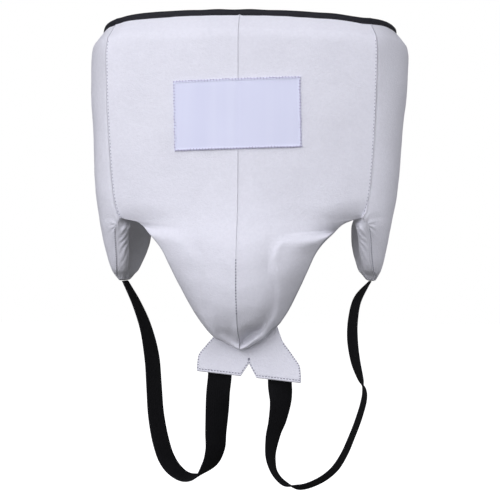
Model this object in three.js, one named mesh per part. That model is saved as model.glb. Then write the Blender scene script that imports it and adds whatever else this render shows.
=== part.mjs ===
// Padded leather groin guard: a two-piece front with a domed cup, two hip wings that end in
// hanging lobes, a bound top edge, a bare front patch, a two-lobed tail flap and two elastic
// leg straps. Millimetres. +X is to the right seen from the front, +Y runs back through the
// body and +Z is up. The origin is the middle of the waist opening, level with the top of the
// binding. A "drop" is a distance below that level.
import * as THREE from "three";

// Driving sizes
const GAP = 0.3;
const BINDING_HEIGHT = 7;
const BINDING_PROUD = 0.4;
const BINDING_CHAMFER = 1.2;
const PATCH = { width: 124.5, height: 68.5, thickness: 1.2, centreX: -1.2, centreDrop: 105.8 };
const PATCH_TURN = THREE.MathUtils.degToRad(1.3);
const TAIL = { thickness: 2.5, centreX: 8, slant: 0.105 };
const STRAP = { width: 24, thickness: 2 };

// The top edge is not quite level: it falls to the right and droops towards both corners
const TOP_SLANT = { tilt: 0.026, droop: 3.6, corner: 120, fade: 75 };

// The cup's raised rib: half width, and the shallow valley that runs inside it
const RIB_WIDTH = 6;
const RIB_VALLEY = { share: 0.35, offset: 12, width: 7 };

// Rounded edges, as shares of the wall, and how they are drawn
const REAR_ROUND = 0.42;
const GUSSET_ROUND = 0.22;
const EDGE_INSET = 0.3;
const SHOULDER_LIMIT = 0.86;
const INNER_PULL_LIMIT = 0.45;
const SEAM_HOLD = 0.35;
const LOBE_BLEND = 12;
const SLOPE_STEP = 0.01;
const TAIL_SLOPE_STEP = 0.02;
const DEPTH_HALVINGS = 40;

// Mesh fineness: points across each skin and rows between two table rows
const FRONT_COLUMNS_ACROSS = 15;
const FRONT_ROWS_BETWEEN = 2;
const FRONT_RIM_POINTS = 3;
const WING_COLUMNS_ACROSS = 9;
const WING_RIM_POINTS = 4;
const LOBE_ROWS = 15;
const PATCH_CELLS = { across: 12, down: 4 };
const TAIL_CELLS_DOWN = 7;
const STRAP_STEPS = 60;

function table(columns, rows) {
  return rows.map((row) => Object.fromEntries(columns.map((name, i) => [name, row[i]])));
}

// Front half, from the top edge down to the tip of the cup. The crown lies on the centre
// seam, the shoulder is where the skin turns (the rib, on the cup) and the edge is the side
// seam, then the leg opening. wall is the padding's thickness, round the edge's radius, rib
// the rib's height and bow how proud (or hollow) the flank is.
const FRONT_COLUMNS = [
  ...["crownY", "crownDrop", "shoulderX", "shoulderY", "edgeX", "edgeY", "edgeDrop"],
  ...["wall", "round", "rib", "bow"],
];
const FRONT_ROWS = table(
  FRONT_COLUMNS,
  [
    [-98.5, 7, 70, -94, 129, -83.5, 7, 5, 0, 0, 0],
    [-105.5, 16, 71, -101, 132, -89.8, 16, 14, 0, 0, 0],
    [-110.8, 25, 72.5, -106.3, 134, -94.3, 25, 20, 0, 0, 0],
    [-112.3, 35, 73, -107.8, 134.2, -95, 35, 22, 0, 0, 0],
    [-112.5, 70, 73.5, -108, 133.6, -95, 70, 22, 0, 0, 0],
    [-112.5, 120, 73, -108, 131.6, -95, 120, 22, 0, 0, 0],
    [-113.5, 160, 72, -108.5, 129, -95, 160, 22, 0, 0, 0],
    [-117, 188, 70, -110.5, 125.8, -95.5, 188, 22, 0, 0, 0],
    [-122, 208, 68, -113, 120, -96, 205.5, 21, 0, 0, 1],
    [-126.5, 224, 62, -116, 103, -102, 210, 20, 5, 0.8, 2],
    [-130, 240, 48, -120.5, 88, -106, 223, 19, 7, 2.4, 1.5],
    [-131.5, 256, 39, -122.5, 76, -103, 238, 18, 7, 3, 1],
    [-131.5, 273, 36.5, -121.5, 66.3, -99, 258, 18, 7, 3, 1.5],
    [-129, 290, 35.5, -118, 56.5, -96, 278, 18, 7, 3, 1.5],
    [-123.5, 304, 34, -112.5, 47, -95, 296, 16, 7, 3, 1],
    [-116, 316.5, 30, -107, 37.7, -96, 310.5, 13, 6.5, 2.5, 0],
    [-105, 326, 23, -101, 28, -95, 322.5, 11, 6, 2, 0],
    [-99, 331.5, 14, -97.5, 17.5, -93.5, 331, 9, 5, 1, 0],
    [-96.5, 335.5, 7, -95.5, 9, -92.5, 335.5, 7, 3, 0, 0],
    [-93, 337, 3, -92.5, 4, -91, 337, 4, 1.2, 0, 0],
  ],
);
const SEAM_END_ROW = 8;
const BELLY_END_ROW = 7;

// Wing, from the top edge down to the tip of the lobe: its widest place and its rear edge
const WING_ROWS = table(
  ["drop", "sideX", "sideY", "rearX", "rearY", "wall"],
  [
    [7, 152.8, -15, 140, 35, 5],
    [16, 159.6, -18, 146, 39, 14],
    [25, 164.5, -20.5, 150.5, 41.5, 20],
    [35, 165.7, -22, 151.5, 42, 22],
    [70, 164.1, -30, 150.5, 41, 22],
    [120, 159.1, -42, 146.5, 36, 22],
    [160, 156.2, -48.5, 141.5, 30.5, 22],
    [188, 153.2, -51, 136.5, 25, 21.5],
    [205.5, 149.8, -53, 128, 19.5, 21],
    [214, 148.2, -54, 125.5, 16, 21],
    [228, 145.6, -53, 125.2, 8, 20.5],
    [240, 143.1, -51.5, 126.6, -2, 20],
    [250, 140.8, -50, 128.2, -11, 18.5],
    [259, 137.8, -47, 129.6, -20, 16.5],
    [264.5, 134.9, -43, 132, -26, 13],
    [269.5, 131.8, -39, 130.5, -29, 7],
  ],
);

// Front edge of the hanging lobe, below the end of the side seam
const LOBE_EDGE_ROWS = table(
  ["drop", "x", "y"],
  [
    [205.5, 120.3, -95.9],
    [214, 124, -91],
    [228, 126, -82],
    [240, 126.5, -75.5],
    [250, 127.5, -70],
    [259, 129, -63],
    [264.5, 131, -54],
    [269.5, 129.5, -48],
  ],
);

// Tail flap from its sewn root to its lower edge; reach is where each column of it ends,
// which makes the notch between the two lobes
const TAIL_ROWS = table(
  ["along", "y", "drop", "halfWidth"],
  [
    [0, -84, 314.9, 27.8],
    [0.17, -84.2, 324.7, 33.2],
    [0.38, -84.8, 336.1, 42.1],
    [0.68, -86, 349.4, 50.8],
    [1, -87.5, 362.8, 51.7],
    [1.1, -88, 367.4, 51.7],
  ],
);
const TAIL_REACH = table(
  ["across", "reach"],
  [
    [0, 0.69],
    [0.15, 1],
    [0.3, 1],
    [0.5, 1],
    [0.75, 1],
    [1, 1],
  ],
);

// Leg straps from behind the flap, down round the loop and up to the lobe's tip. face is the
// turn of the webbing about its own run: 0 shows its full width to the front, 90 its edge.
const STRAP_COLUMNS = ["x", "y", "drop", "face"];
const STRAP_LEFT_ROWS = table(STRAP_COLUMNS, [
  [-21.6, -82.5, 349.5, 0],
  [-22.1, -80, 363.8, 0],
  [-24.8, -72, 380.7, 2],
  [-27.4, -60, 402.5, 20],
  [-29.9, -50, 424.3, 33],
  [-31.8, -42, 443.8, 42],
  [-38.1, -36, 459.4, 58],
  [-51.4, -31.5, 472.9, 88],
  [-64.1, -31, 474.3, 103],
  [-75.2, -31, 467.7, 114],
  [-84.1, -31, 455.9, 122],
  [-90.6, -31.5, 436.3, 124],
  [-95.3, -32.5, 409.1, 122],
  [-97.1, -34, 379.7, 120],
  [-99.1, -35, 350.5, 118],
  [-105.2, -37, 319.2, 108],
  [-114.4, -38.5, 294.2, 99],
  [-126.2, -40, 270.6, 90],
]);
const STRAP_RIGHT_ROWS = table(STRAP_COLUMNS, [
  [38.9, -82.5, 354.9, 0],
  [38.0, -79, 370.1, 4],
  [38.4, -71, 388.1, 30],
  [34.4, -60, 409.8, 46],
  [29.2, -51, 427.3, 58],
  [26.4, -44, 445.6, 69],
  [27.4, -39, 458.6, 79],
  [31.3, -35, 470.1, 88],
  [39.4, -31.5, 478.9, 92],
  [54.3, -31, 482.8, 111],
  [74.0, -31, 476.2, 111],
  [89.4, -31, 464.6, 110],
  [99.6, -31.5, 449.5, 107],
  [107.8, -32, 431.0, 105],
  [115.6, -33, 410.2, 104],
  [120.6, -34, 391.6, 102],
  [120.7, -35, 381.2, 95],
  [117.4, -35, 371.0, 77],
  [112.2, -36, 352.6, 67],
  [109.1, -37, 330.0, 64],
  [109.6, -38, 309.5, 67],
  [114.1, -39, 289.0, 72],
  [126.2, -40, 271, 88],
]);

// Smooth curve through table values that never overshoots them
function monotone(keys, values) {
  const last = keys.length - 1;
  const chords = keys.slice(1).map((key, i) => (values[i + 1] - values[i]) / (key - keys[i]));
  const slopes = keys.map((_, i) => {
    if (i === 0) return chords[0];
    if (i === last) return chords[last - 1];
    const product = chords[i - 1] * chords[i];
    return product <= 0 ? 0 : (2 * product) / (chords[i - 1] + chords[i]);
  });
  return (key) => {
    const found = keys.findIndex((next, i) => i > 0 && key <= next);
    const i = (found < 0 ? last : found) - 1;
    const span = keys[i + 1] - keys[i];
    const share = (key - keys[i]) / span;
    return hermite(values[i], values[i + 1], slopes[i] * span, slopes[i + 1] * span, share);
  };
}

function hermite(from, to, slopeFrom, slopeTo, share) {
  const s2 = share * share;
  const s3 = s2 * share;
  const start = from * (2 * s3 - 3 * s2 + 1) + slopeFrom * (s3 - 2 * s2 + share);
  return start + to * (3 * s2 - 2 * s3) + slopeTo * (s3 - s2);
}

function sampler(rows, keyOf) {
  const keys = rows.map(keyOf);
  const curves = Object.keys(rows[0]).map((name) => {
    const values = rows.map((row) => row[name]);
    return [name, monotone(keys, values)];
  });
  return (key) => Object.fromEntries(curves.map(([name, curve]) => [name, curve(key)]));
}

const frontAt = sampler(FRONT_ROWS, (_, i) => i);
const wingAt = sampler(WING_ROWS, (row) => row.drop);
const lobeEdgeAt = sampler(LOBE_EDGE_ROWS, (row) => row.drop);
const tailAt = sampler(TAIL_ROWS, (row) => row.along);

// Closed solid through a list of loops with the same number of points. Each end is closed
// by joining point i of its loop with point (last - i).
function loft(loops) {
  const count = loops[0].length;
  const positions = loops.flat().flatMap((point) => point.toArray());
  const index = [];
  const quad = (a, b, c, d) => index.push(a, b, c, a, c, d);
  for (let row = 0; row + 1 < loops.length; row += 1) {
    for (let i = 0; i < count; i += 1) {
      const next = (i + 1) % count;
      quad(row * count + i, row * count + next, (row + 1) * count + next, (row + 1) * count + i);
    }
  }
  const end = (loops.length - 1) * count;
  for (let i = 0; i < count / 2 - 1; i += 1) {
    const j = count - 1 - i;
    quad(j, j - 1, i + 1, i);
    quad(end + i, end + i + 1, end + j - 1, end + j);
  }
  const geometry = new THREE.BufferGeometry();
  geometry.setAttribute("position", new THREE.Float32BufferAttribute(positions, 3));
  geometry.setIndex(volumeOf(positions, index) > 0 ? index : index.reverse());
  geometry.computeVertexNormals();
  return geometry;
}

function volumeOf(positions, index) {
  const corner = (i) => new THREE.Vector3().fromArray(positions, 3 * i);
  let sum = 0;
  for (let i = 0; i < index.length; i += 3) {
    sum += corner(index[i]).dot(corner(index[i + 1]).cross(corner(index[i + 2])));
  }
  return sum / 6;
}

// Depth of the front's outer skin at share t of the way from the centre seam to the edge
function frontDepth(row, t, ribShare = 1) {
  const bend = row.shoulderX / row.edgeX;
  const rise = (row.shoulderY - row.crownY) / bend;
  const fall = (row.edgeY - row.shoulderY) / (1 - bend);
  const turn = (rise + fall) / 2;
  const past = Math.max(0, (t - bend) / (1 - bend));
  const smooth =
    t < bend
      ? hermite(row.crownY, row.shoulderY, 0, turn * bend, t / bend)
      : hermite(row.shoulderY, row.edgeY, turn * (1 - bend), (2 * fall - turn) * (1 - bend), past);
  const across = (t - bend) * row.edgeX;
  const ridge = Math.exp(-((across / RIB_WIDTH) ** 2));
  const valley = Math.exp(-(((across + RIB_VALLEY.offset) / RIB_VALLEY.width) ** 2));
  const swelling = 4 * row.bow * past * (1 - past);
  return smooth - swelling - ribShare * row.rib * (ridge - RIB_VALLEY.share * valley);
}

// Table row of the front with its edge drawn in by the edge's own radius, and the direction
// in the X-Z plane in which that edge then swells
function frontRow(u) {
  const row = frontAt(u);
  const before = frontAt(Math.max(0, u - SLOPE_STEP));
  const after = frontAt(Math.min(FRONT_ROWS.length - 1, u + SLOPE_STEP));
  const swell = new THREE.Vector3(after.edgeDrop - before.edgeDrop, 0, after.edgeX - before.edgeX);
  swell.normalize();
  row.edgeX -= EDGE_INSET * row.round * swell.x;
  row.edgeDrop += EDGE_INSET * row.round * swell.z;
  row.shoulderX = Math.min(row.shoulderX, SHOULDER_LIMIT * row.edgeX);
  return { row, swell };
}

// Outer and inner skin of one row of the right half
function frontSkins(u) {
  const { row, swell } = frontRow(u);
  const outer = [];
  const inner = [];
  for (let i = 0; i <= FRONT_COLUMNS_ACROSS; i += 1) {
    const t = i / FRONT_COLUMNS_ACROSS;
    const x = GAP / 2 + t * (row.edgeX - GAP / 2);
    const z = -(row.crownDrop + t * (row.edgeDrop - row.crownDrop));
    const low = Math.max(0, t - SLOPE_STEP);
    const high = Math.min(1, t + SLOPE_STEP);
    const slope = (frontDepth(row, high, 0) - frontDepth(row, low, 0)) / ((high - low) * row.edgeX);
    const lean = Math.max(0, slope / Math.hypot(1, slope));
    const pull = Math.min(row.wall * lean, INNER_PULL_LIMIT * (x - GAP / 2));
    const back = frontDepth(row, t, 0) + Math.sqrt(row.wall ** 2 - pull ** 2);
    outer.push(new THREE.Vector3(x, frontDepth(row, t), z));
    inner.push(new THREE.Vector3(x - pull, back, z));
  }
  return { outer, inner, swell, round: row.round };
}

function frontLoop(u) {
  const { outer, inner, swell, round } = frontSkins(u);
  const rim = rimPoints(outer.at(-1), inner.at(-1), swell, round, FRONT_RIM_POINTS);
  return [...outer, ...rim, ...inner.reverse()];
}

// Points between two skins along a rounded edge
function rimPoints(from, to, swell, round, count) {
  return Array.from({ length: count }, (_, i) => {
    const share = (i + 1) / (count + 1);
    const point = from.clone().lerp(to, share);
    return point.addScaledVector(swell, round * Math.sin(Math.PI * share));
  });
}

const FRONT_STATIONS = Array.from(
  { length: (FRONT_ROWS.length - 1) * FRONT_ROWS_BETWEEN + 1 },
  (_, i) => i / FRONT_ROWS_BETWEEN,
);

// Outer and inner skin of one level of the right wing. seamLean is the direction of the front
// panel's side face, which the wing meets; seamShare fades it out below the seam.
function wingSkins(drop, frontPoint, seamLean, seamShare) {
  const row = wingAt(drop);
  const side = new THREE.Vector2(row.sideX, row.sideY);
  const rear = new THREE.Vector2(row.rearX, row.rearY);
  const control = side.multiplyScalar(2).addScaledVector(frontPoint, -0.5).addScaledVector(rear, -0.5);
  const plan = new THREE.QuadraticBezierCurve(frontPoint, control, rear);
  const outer = [];
  const inner = [];
  for (let i = 0; i <= WING_COLUMNS_ACROSS; i += 1) {
    const s = i / WING_COLUMNS_ACROSS;
    const point = plan.getPoint(s);
    const along = plan.getTangent(s);
    const inward = new THREE.Vector2(-along.y, along.x);
    const hold = seamShare * (1 - THREE.MathUtils.smoothstep(s, 0, SEAM_HOLD));
    inward.lerp(seamLean, hold).normalize();
    outer.push(new THREE.Vector3(point.x, point.y, -drop));
    inner.push(new THREE.Vector3(point.x + row.wall * inward.x, point.y + row.wall * inward.y, -drop));
  }
  const flat = (vector, sign) => new THREE.Vector3(sign * vector.x, sign * vector.y, 0);
  return {
    outer,
    inner,
    rearSwell: flat(plan.getTangent(1), 1),
    frontSwell: flat(plan.getTangent(0), -1),
    rearRound: REAR_ROUND * row.wall,
    frontRound: GUSSET_ROUND * row.wall * (1 - seamShare),
  };
}

function wingLoop(skins) {
  const { outer, inner, rearSwell, frontSwell, rearRound, frontRound } = skins;
  const rear = rimPoints(outer.at(-1), inner.at(-1), rearSwell, rearRound, WING_RIM_POINTS);
  const front = rimPoints(outer[0], inner[0], frontSwell, frontRound, WING_RIM_POINTS);
  const half = WING_RIM_POINTS / 2;
  const lead = front.slice(0, half).reverse();
  const tail = front.slice(half).reverse();
  return [...lead, ...outer, ...rear, ...[...inner].reverse(), ...tail];
}

function seamFace(u) {
  const { outer, inner } = frontSkins(u);
  const edge = new THREE.Vector2(outer.at(-1).x, outer.at(-1).y);
  const lean = new THREE.Vector2(inner.at(-1).x, inner.at(-1).y).sub(edge).normalize();
  const clear = new THREE.Vector2(lean.y, -lean.x).multiplyScalar(GAP);
  return { point: edge.add(clear), lean, drop: -outer.at(-1).z };
}

function wingLevels() {
  const seam = FRONT_STATIONS.filter((u) => u <= SEAM_END_ROW).map((u) => {
    const face = seamFace(u);
    return wingSkins(face.drop, face.point, face.lean, 1);
  });
  const seamEnd = seamFace(SEAM_END_ROW);
  const tipDrop = WING_ROWS.at(-1).drop;
  const lobe = Array.from({ length: LOBE_ROWS }, (_, i) => {
    const drop = THREE.MathUtils.lerp(seamEnd.drop, tipDrop, (i + 1) / LOBE_ROWS);
    const edge = lobeEdgeAt(drop);
    const fade = 1 - THREE.MathUtils.smoothstep(drop, seamEnd.drop, seamEnd.drop + LOBE_BLEND);
    return wingSkins(drop, new THREE.Vector2(edge.x, edge.y), seamEnd.lean, fade);
  });
  return [...seam, ...lobe];
}

// The right half mirrored across the centre plane
function mirrored(loops) {
  return loops.map((loop) => loop.map((point) => new THREE.Vector3(-point.x, point.y, point.z)));
}

// Loops with the slant of the top edge, which fades out further down
function slanted(loops) {
  return loops.map((loop) =>
    loop.map((point) => {
      const x = THREE.MathUtils.clamp(point.x, -TOP_SLANT.corner, TOP_SLANT.corner);
      const fall = TOP_SLANT.tilt * x + TOP_SLANT.droop * (x / TOP_SLANT.corner) ** 2;
      const share = THREE.MathUtils.smoothstep(point.z, -TOP_SLANT.fade, 0);
      return point.clone().setZ(point.z - share * fall);
    }),
  );
}

// Binding: follows the top edge of the wings and the front from one rear end to the other
function bindingLoops() {
  const front = frontSkins(0);
  const face = seamFace(0);
  const wing = wingSkins(face.drop, face.point, face.lean, 1);
  const outer = [...front.outer, ...wing.outer.slice(1)];
  const inner = [...front.inner, ...wing.inner.slice(1)];
  const right = outer.map((point, i) => {
    const across = inner[i].clone().sub(point).normalize();
    const from = point.clone().addScaledVector(across, -BINDING_PROUD);
    const to = inner[i].clone().addScaledVector(across, BINDING_PROUD);
    const corner = (base, inset, z) => base.clone().addScaledVector(across, inset).setZ(z);
    return [
      corner(from, 0, GAP - BINDING_HEIGHT),
      corner(from, 0, -BINDING_CHAMFER),
      corner(from, BINDING_CHAMFER, 0),
      corner(to, -BINDING_CHAMFER, 0),
      corner(to, 0, -BINDING_CHAMFER),
      corner(to, 0, GAP - BINDING_HEIGHT),
    ];
  });
  return [...mirrored(right.slice(1)).reverse(), ...right];
}

// Outer skin of the belly at a place seen from the front
function bellyDepth(x, drop) {
  let low = 0;
  let high = BELLY_END_ROW;
  for (let i = 0; i < DEPTH_HALVINGS; i += 1) {
    const middle = (low + high) / 2;
    if (frontAt(middle).crownDrop < drop) low = middle;
    else high = middle;
  }
  const row = frontAt(low);
  return frontDepth(row, Math.abs(x) / row.edgeX);
}

function patchLoops() {
  const spots = (down, lift) =>
    Array.from({ length: PATCH_CELLS.across + 1 }, (_, i) => {
      const p = PATCH.width * (i / PATCH_CELLS.across - 0.5);
      const q = PATCH.height * (down / PATCH_CELLS.down - 0.5);
      const x = PATCH.centreX + p * Math.cos(PATCH_TURN) + q * Math.sin(PATCH_TURN);
      const drop = PATCH.centreDrop + q * Math.cos(PATCH_TURN) - p * Math.sin(PATCH_TURN);
      return new THREE.Vector3(x, bellyDepth(x, drop) - lift, -drop);
    });
  return Array.from({ length: PATCH_CELLS.down + 1 }, (_, down) => [
    ...spots(down, GAP + PATCH.thickness),
    ...spots(down, GAP).reverse(),
  ]);
}

// Tail flap; it hangs a little lower on the right
function tailLoops() {
  const reachAt = monotone(TAIL_REACH.map((row) => row.across), TAIL_REACH.map((row) => row.reach));
  const right = TAIL_REACH.map(({ across }) => across);
  const columns = [...right.slice(1).map((across) => -across).reverse(), ...right];
  const spot = (across, along, side) => {
    const row = tailAt(along);
    const ahead = tailAt(along + TAIL_SLOPE_STEP);
    const run = new THREE.Vector2(ahead.y - row.y, row.drop - ahead.drop).normalize();
    const lift = (side * TAIL.thickness) / 2;
    const x = across * row.halfWidth;
    const z = lift * run.x - row.drop - TAIL.slant * x;
    return new THREE.Vector3(TAIL.centreX + x, row.y - lift * run.y, z);
  };
  return columns.map((across) => {
    const reach = reachAt(Math.abs(across));
    const steps = Array.from({ length: TAIL_CELLS_DOWN + 1 }, (_, i) => (reach * i) / TAIL_CELLS_DOWN);
    return [...steps.map((s) => spot(across, s, -1)), ...steps.reverse().map((s) => spot(across, s, 1))];
  });
}

function strapLoops(rows) {
  const route = new THREE.CatmullRomCurve3(rows.map((row) => new THREE.Vector3(row.x, row.y, -row.drop)));
  const faceAt = monotone(rows.map((_, i) => i / (rows.length - 1)), rows.map((row) => row.face));
  const back = new THREE.Vector3(0, 1, 0);
  return Array.from({ length: STRAP_STEPS + 1 }, (_, i) => {
    const share = route.getUtoTmapping(i / STRAP_STEPS);
    const centre = route.getPoint(share);
    const run = route.getTangent(share);
    const side = run.clone().cross(back).normalize();
    const depth = side.clone().cross(run).normalize();
    const turn = THREE.MathUtils.degToRad(faceAt(share));
    const across = side.multiplyScalar(Math.cos(turn)).addScaledVector(depth, Math.sin(turn));
    const through = run.clone().cross(across);
    const corner = (a, b) =>
      centre
        .clone()
        .addScaledVector(across, (a * STRAP.width) / 2)
        .addScaledVector(through, (b * STRAP.thickness) / 2);
    return [corner(-1, -1), corner(1, -1), corner(1, 1), corner(-1, 1)];
  });
}

const WHITE_LEATHER = { color: 0xdedeea, roughness: 0.5, metalness: 0 };
const BLACK_WEBBING = { color: 0x0b0b0d, roughness: 0.8, metalness: 0 };
const PATCH_FABRIC = { color: 0xd8daef, roughness: 0.7, metalness: 0 };

function piece(name, geometry, finish) {
  const mesh = new THREE.Mesh(geometry, new THREE.MeshStandardMaterial(finish));
  mesh.name = name;
  return mesh;
}

const guard = new THREE.Group();
guard.name = "groin_guard";

const frontLoops = FRONT_STATIONS.map(frontLoop);
guard.add(piece("front_panel_right", loft(slanted(frontLoops)), WHITE_LEATHER));
guard.add(piece("front_panel_left", loft(slanted(mirrored(frontLoops))), WHITE_LEATHER));

const wingLoops = wingLevels().map(wingLoop);
guard.add(piece("side_wing_right", loft(slanted(wingLoops)), WHITE_LEATHER));
guard.add(piece("side_wing_left", loft(slanted(mirrored(wingLoops))), WHITE_LEATHER));

guard.add(piece("top_binding", loft(slanted(bindingLoops())), BLACK_WEBBING));
guard.add(piece("front_patch", loft(patchLoops()), PATCH_FABRIC));
guard.add(piece("tail_flap", loft(tailLoops()), WHITE_LEATHER));
guard.add(piece("leg_strap_left", loft(strapLoops(STRAP_LEFT_ROWS)), BLACK_WEBBING));
guard.add(piece("leg_strap_right", loft(strapLoops(STRAP_RIGHT_ROWS)), BLACK_WEBBING));

export default guard;
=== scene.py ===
"""Looks of a padded leather groin guard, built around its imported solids.

Shapes are worked out in millimetres in the part's own frame and written to meshes in metres:
+X is to the right seen from the front, +Y runs back through the body and +Z is up. A "drop"
is a distance below the top of the binding. Each half is worked out on the right and mirrored.
"""

import math

import bpy
import numpy as np
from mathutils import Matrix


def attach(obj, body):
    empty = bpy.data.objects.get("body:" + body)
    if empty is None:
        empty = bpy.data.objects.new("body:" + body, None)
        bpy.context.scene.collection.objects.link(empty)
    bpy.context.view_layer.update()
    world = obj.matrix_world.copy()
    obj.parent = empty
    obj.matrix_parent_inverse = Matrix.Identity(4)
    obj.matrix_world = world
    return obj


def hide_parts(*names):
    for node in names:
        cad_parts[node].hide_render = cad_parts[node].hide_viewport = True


MM = 0.001
RIGHT, LEFT = 1, -1
SIDE_NAMES = {RIGHT: "right", LEFT: "left"}

# Camera, as found from the photograph: degrees and metres, focal length in picture units
CAMERA_AZIMUTH = 6.0
CAMERA_DISTANCE = 1.3
CAMERA_HEIGHT = -0.238
FOCAL_UNITS = 1224.6
PICTURE_UNITS = 500
AXIS_UNITS_LEFT = -0.15
SENSOR_MM = 36

# Lights, placed in metres: azimuth and elevation in degrees, and power in watts
MIDDLE = (0, -0.05, -0.2)
LIGHT_DISTANCE = 2.0
LIGHT_SIZE = 1.3
LIGHT_COLOR = (0.97, 0.97, 1.07)
LIGHTS = {
    "key": (-35, 25, 8.0),
    "front": (-10, 20, 8.3),
    "right_fill": (45, 15, 2.6),
    "left_side": (-70, 10, 7.2),
    "right_side": (80, 10, 11.2),
    "top": (0, 60, 9.0),
    "low_fill": (-20, 0, 7.8),
}
AMBIENT = 0.12
FLOOR_DROP, FLOOR_REACH = 560, 4000

# Sizes shared with the solids
GAP = 0.3
PATCH = {"width": 124.5, "height": 68.5, "thickness": 1.2, "x": -1.2, "drop": 105.8, "turn": 1.3}
TAIL = {"thickness": 2.5, "x": 8.0, "slant": 0.105}
STRAP = {"width": 24.0, "thickness": 2.0}
TOP_SLANT = {"tilt": 0.026, "droop": 3.6, "corner": 120.0, "fade": 75.0}
REAR_ROUND = 0.42
SHOULDER_LIMIT = 0.86
INNER_PULL_LIMIT = 0.45
SEAM_HOLD = 0.35
SLOPE_STEP = 0.01
SEAM_END_ROW = 8
BELLY_END_ROW = 7

# Rounding of the corner where front and wing meet at the top. On each side: how far it moves
# in, how far it falls there and how much lower the wing stays behind it
CORNER = {
    RIGHT: {"in": 2.2, "fall": 1.8, "behind": -0.6},
    LEFT: {"in": 3.8, "fall": 0.8, "behind": 3.2},
}
CORNER_IN, CORNER_ALONG = np.array([-0.585, 0.81]), np.array([0.81, 0.585])
CORNER_WIDTH, CORNER_FALL_WIDTH = 10.0, 20.0
CORNER_DROPS, CORNER_BEHIND = (10, 45), (-30, 25)

# Share of the solids' edge radius that the cup's outline reaches, and that is left round
EDGE_REACH = {RIGHT: 0.62, LEFT: 0.25}
EDGE_ROUND = {RIGHT: 0.5, LEFT: 0.3}

# Seams, beads and grooves: height, distance from the seam or edge, and width
SEAM_DIPS = ((-0.4, 0, 0.7), (-0.35, 0, 3.2))
WING_ROLL = (0.3, 2.4, 1.2)
LOBE_PIPING, LOBE_GROOVE = (0.6, 0.6, 0.9), (-0.5, 2.2, 0.8)
PATCH_BEAD, PATCH_EDGE, PATCH_CENTRE = (0.45, 1.3, 0.9), (-0.5, 0, 0.5), (-0.25, 0, 3)
FLAP_DIP = (-0.3, 2.4, 0.9)

# Painted shade in them, from 0 to 1, with the same columns: darkening put into the colour where shade
# falls
SIDE_SHADE = (0.03, 0, 0.6)
LOBE_SHADE = (0.6, 2.2, 0.7)
FLAP_SHADE, FLAP_SIDE_SHADE = (0.25, 2.4, 0.9), (0.6, 0, 0.8)
# Painted shade along the cup's edge, painted shadow under the belly at the notch, and painted shade in
# the cup's hollow
CUP_EDGE_SHADE, CUP_EDGE_DROPS = (0.8, 0, 1.2), (214, 226)
NOTCH_SHADE, NOTCH_DROP = (0.4, 0, 3.5), 209
HOLLOW_SHADE = 0.03

# Painted shade in the centre seam, its width, and what is added further down between two drops
CENTRE_SHADE, CENTRE_SHADE_WIDTH = 0.08, 0.6
CENTRE_SHADE_STEPS = ((0.3, 250, 270), (0.3, 285, 312))

# Unevenness: height, length of its waves and seed
FRONT_UNEVEN = ((0.28, 60, 11), (0.1, 24, 21))
WING_UNEVEN = ((0.25, 55, 31), (0.1, 20, 41))
BINDING_UNEVEN = ((0.25, 30, 51),)
PATCH_UNEVEN = ((0.2, 45, 61),)
FLAP_UNEVEN = ((0.7, 48, 71),)
STITCH_UNEVEN = ((0.35, 13, 81),)
PLEAT_UNEVEN = ((0.3, 26, 91),)
WAVES, WAVE_SHORTEST, WAVE_SPREAD = 7, 0.7, 0.9

# Front panels. The linings all but meet on the centre seam, and the side seams are shallower
# than it. Drops are where a feature starts and is full, and where it then fades and ends
LINING_GAP = 0.03
SIDE_SEAM, SIDE_SEAM_DROPS = 0.4, (12, 34, 196, 206)
SEAM_CALM = 8.0
CREST_SHAPE = {"height": 4.6, "valley_at": 9.0, "valley": 5.5, "swell_at": -2.0, "swell": 11.0}
FOLD_EASE, FOLD_FULL, FOLD_SHADE_WIDTH = 1.6, 8.0, 1.2
FLANK_START = 0.1
FLANK_EDGE_POWER = {RIGHT: 4, LEFT: 2}
TIP_TRIM_DROPS = (288, 324)

# Wings: front face of a lobe (the way it runs in plan, its width and how far it bulges), the
# smoothing at the notch above it, creases at the end of the side seam, gathers and pleats
GUSSET = {"run": (-0.85, 0.53), "width": 0.6, "round": 0.12}
LOBE_BLEND = 14.0
NOTCH_EASE, NOTCH_FADE, NOTCH_DROPS = 16.0, 0.3, (160, 190, 230, 255)
PUCKER = {"drop": 213, "rays": 9, "height": 0.5, "reach": 5, "nearest": 0.1, "start": (0.5, 3)}
GATHERS = {"height": 0.5, "count": 9, "drops": (252, 270)}
PLEATS = {"height": 0.5, "pitch": 8.5, "slant": 1.9, "fade": 0.7, "drops": (230, 256)}
TIP_DEPTH, TIP_TURN = 1.6, math.radians(80)

# Binding, patch, flap and straps
BINDING = {"height": 6.9, "thickness": 0.85, "top": -0.6, "clear": 0.05, "stitch_up": 2.4}
PATCH_CALM = 6.0
PATCH_STITCH = {"inset": 0.8, "lean": 0.25, "lift": 0.25, "cord_lift": 0.2, "step": 0.5}
FLAP = {"run": 60.0, "lean": 2.5, "edge_round": 1.3, "thinnest": 0.04, "rim": 0.8}
FLAP_STEP, FLAP_END_STEP = 0.02, 0.03
FLAP_CORNER = {"height": 4.3, "across": (0.4, 1), "along": 0.17}
FLAP_STITCH = {"inset": 2.4, "ends": 1.5, "edge_inset": 0.8, "edge_start": 0.2}
FLAP_TACK = np.array([0.585, 0.605, 0.625])
STRAP_RIB, STRAP_EDGE, STRAP_THINNEST = 0.1, 0.05, 0.05

# Places of stitches: distance from the edge or skin, and the drops between which they run
SEAM_STITCH_INSET, SEAM_STITCH_DROPS = 0.9, (27, 204)
LOBE_STITCH_INSET, LOBE_STITCH_DROPS = 2.2, (216, 266)
CENTRE_STITCH_OUT, CENTRE_STITCH_DROPS = 0.1, (246, 300)

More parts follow.
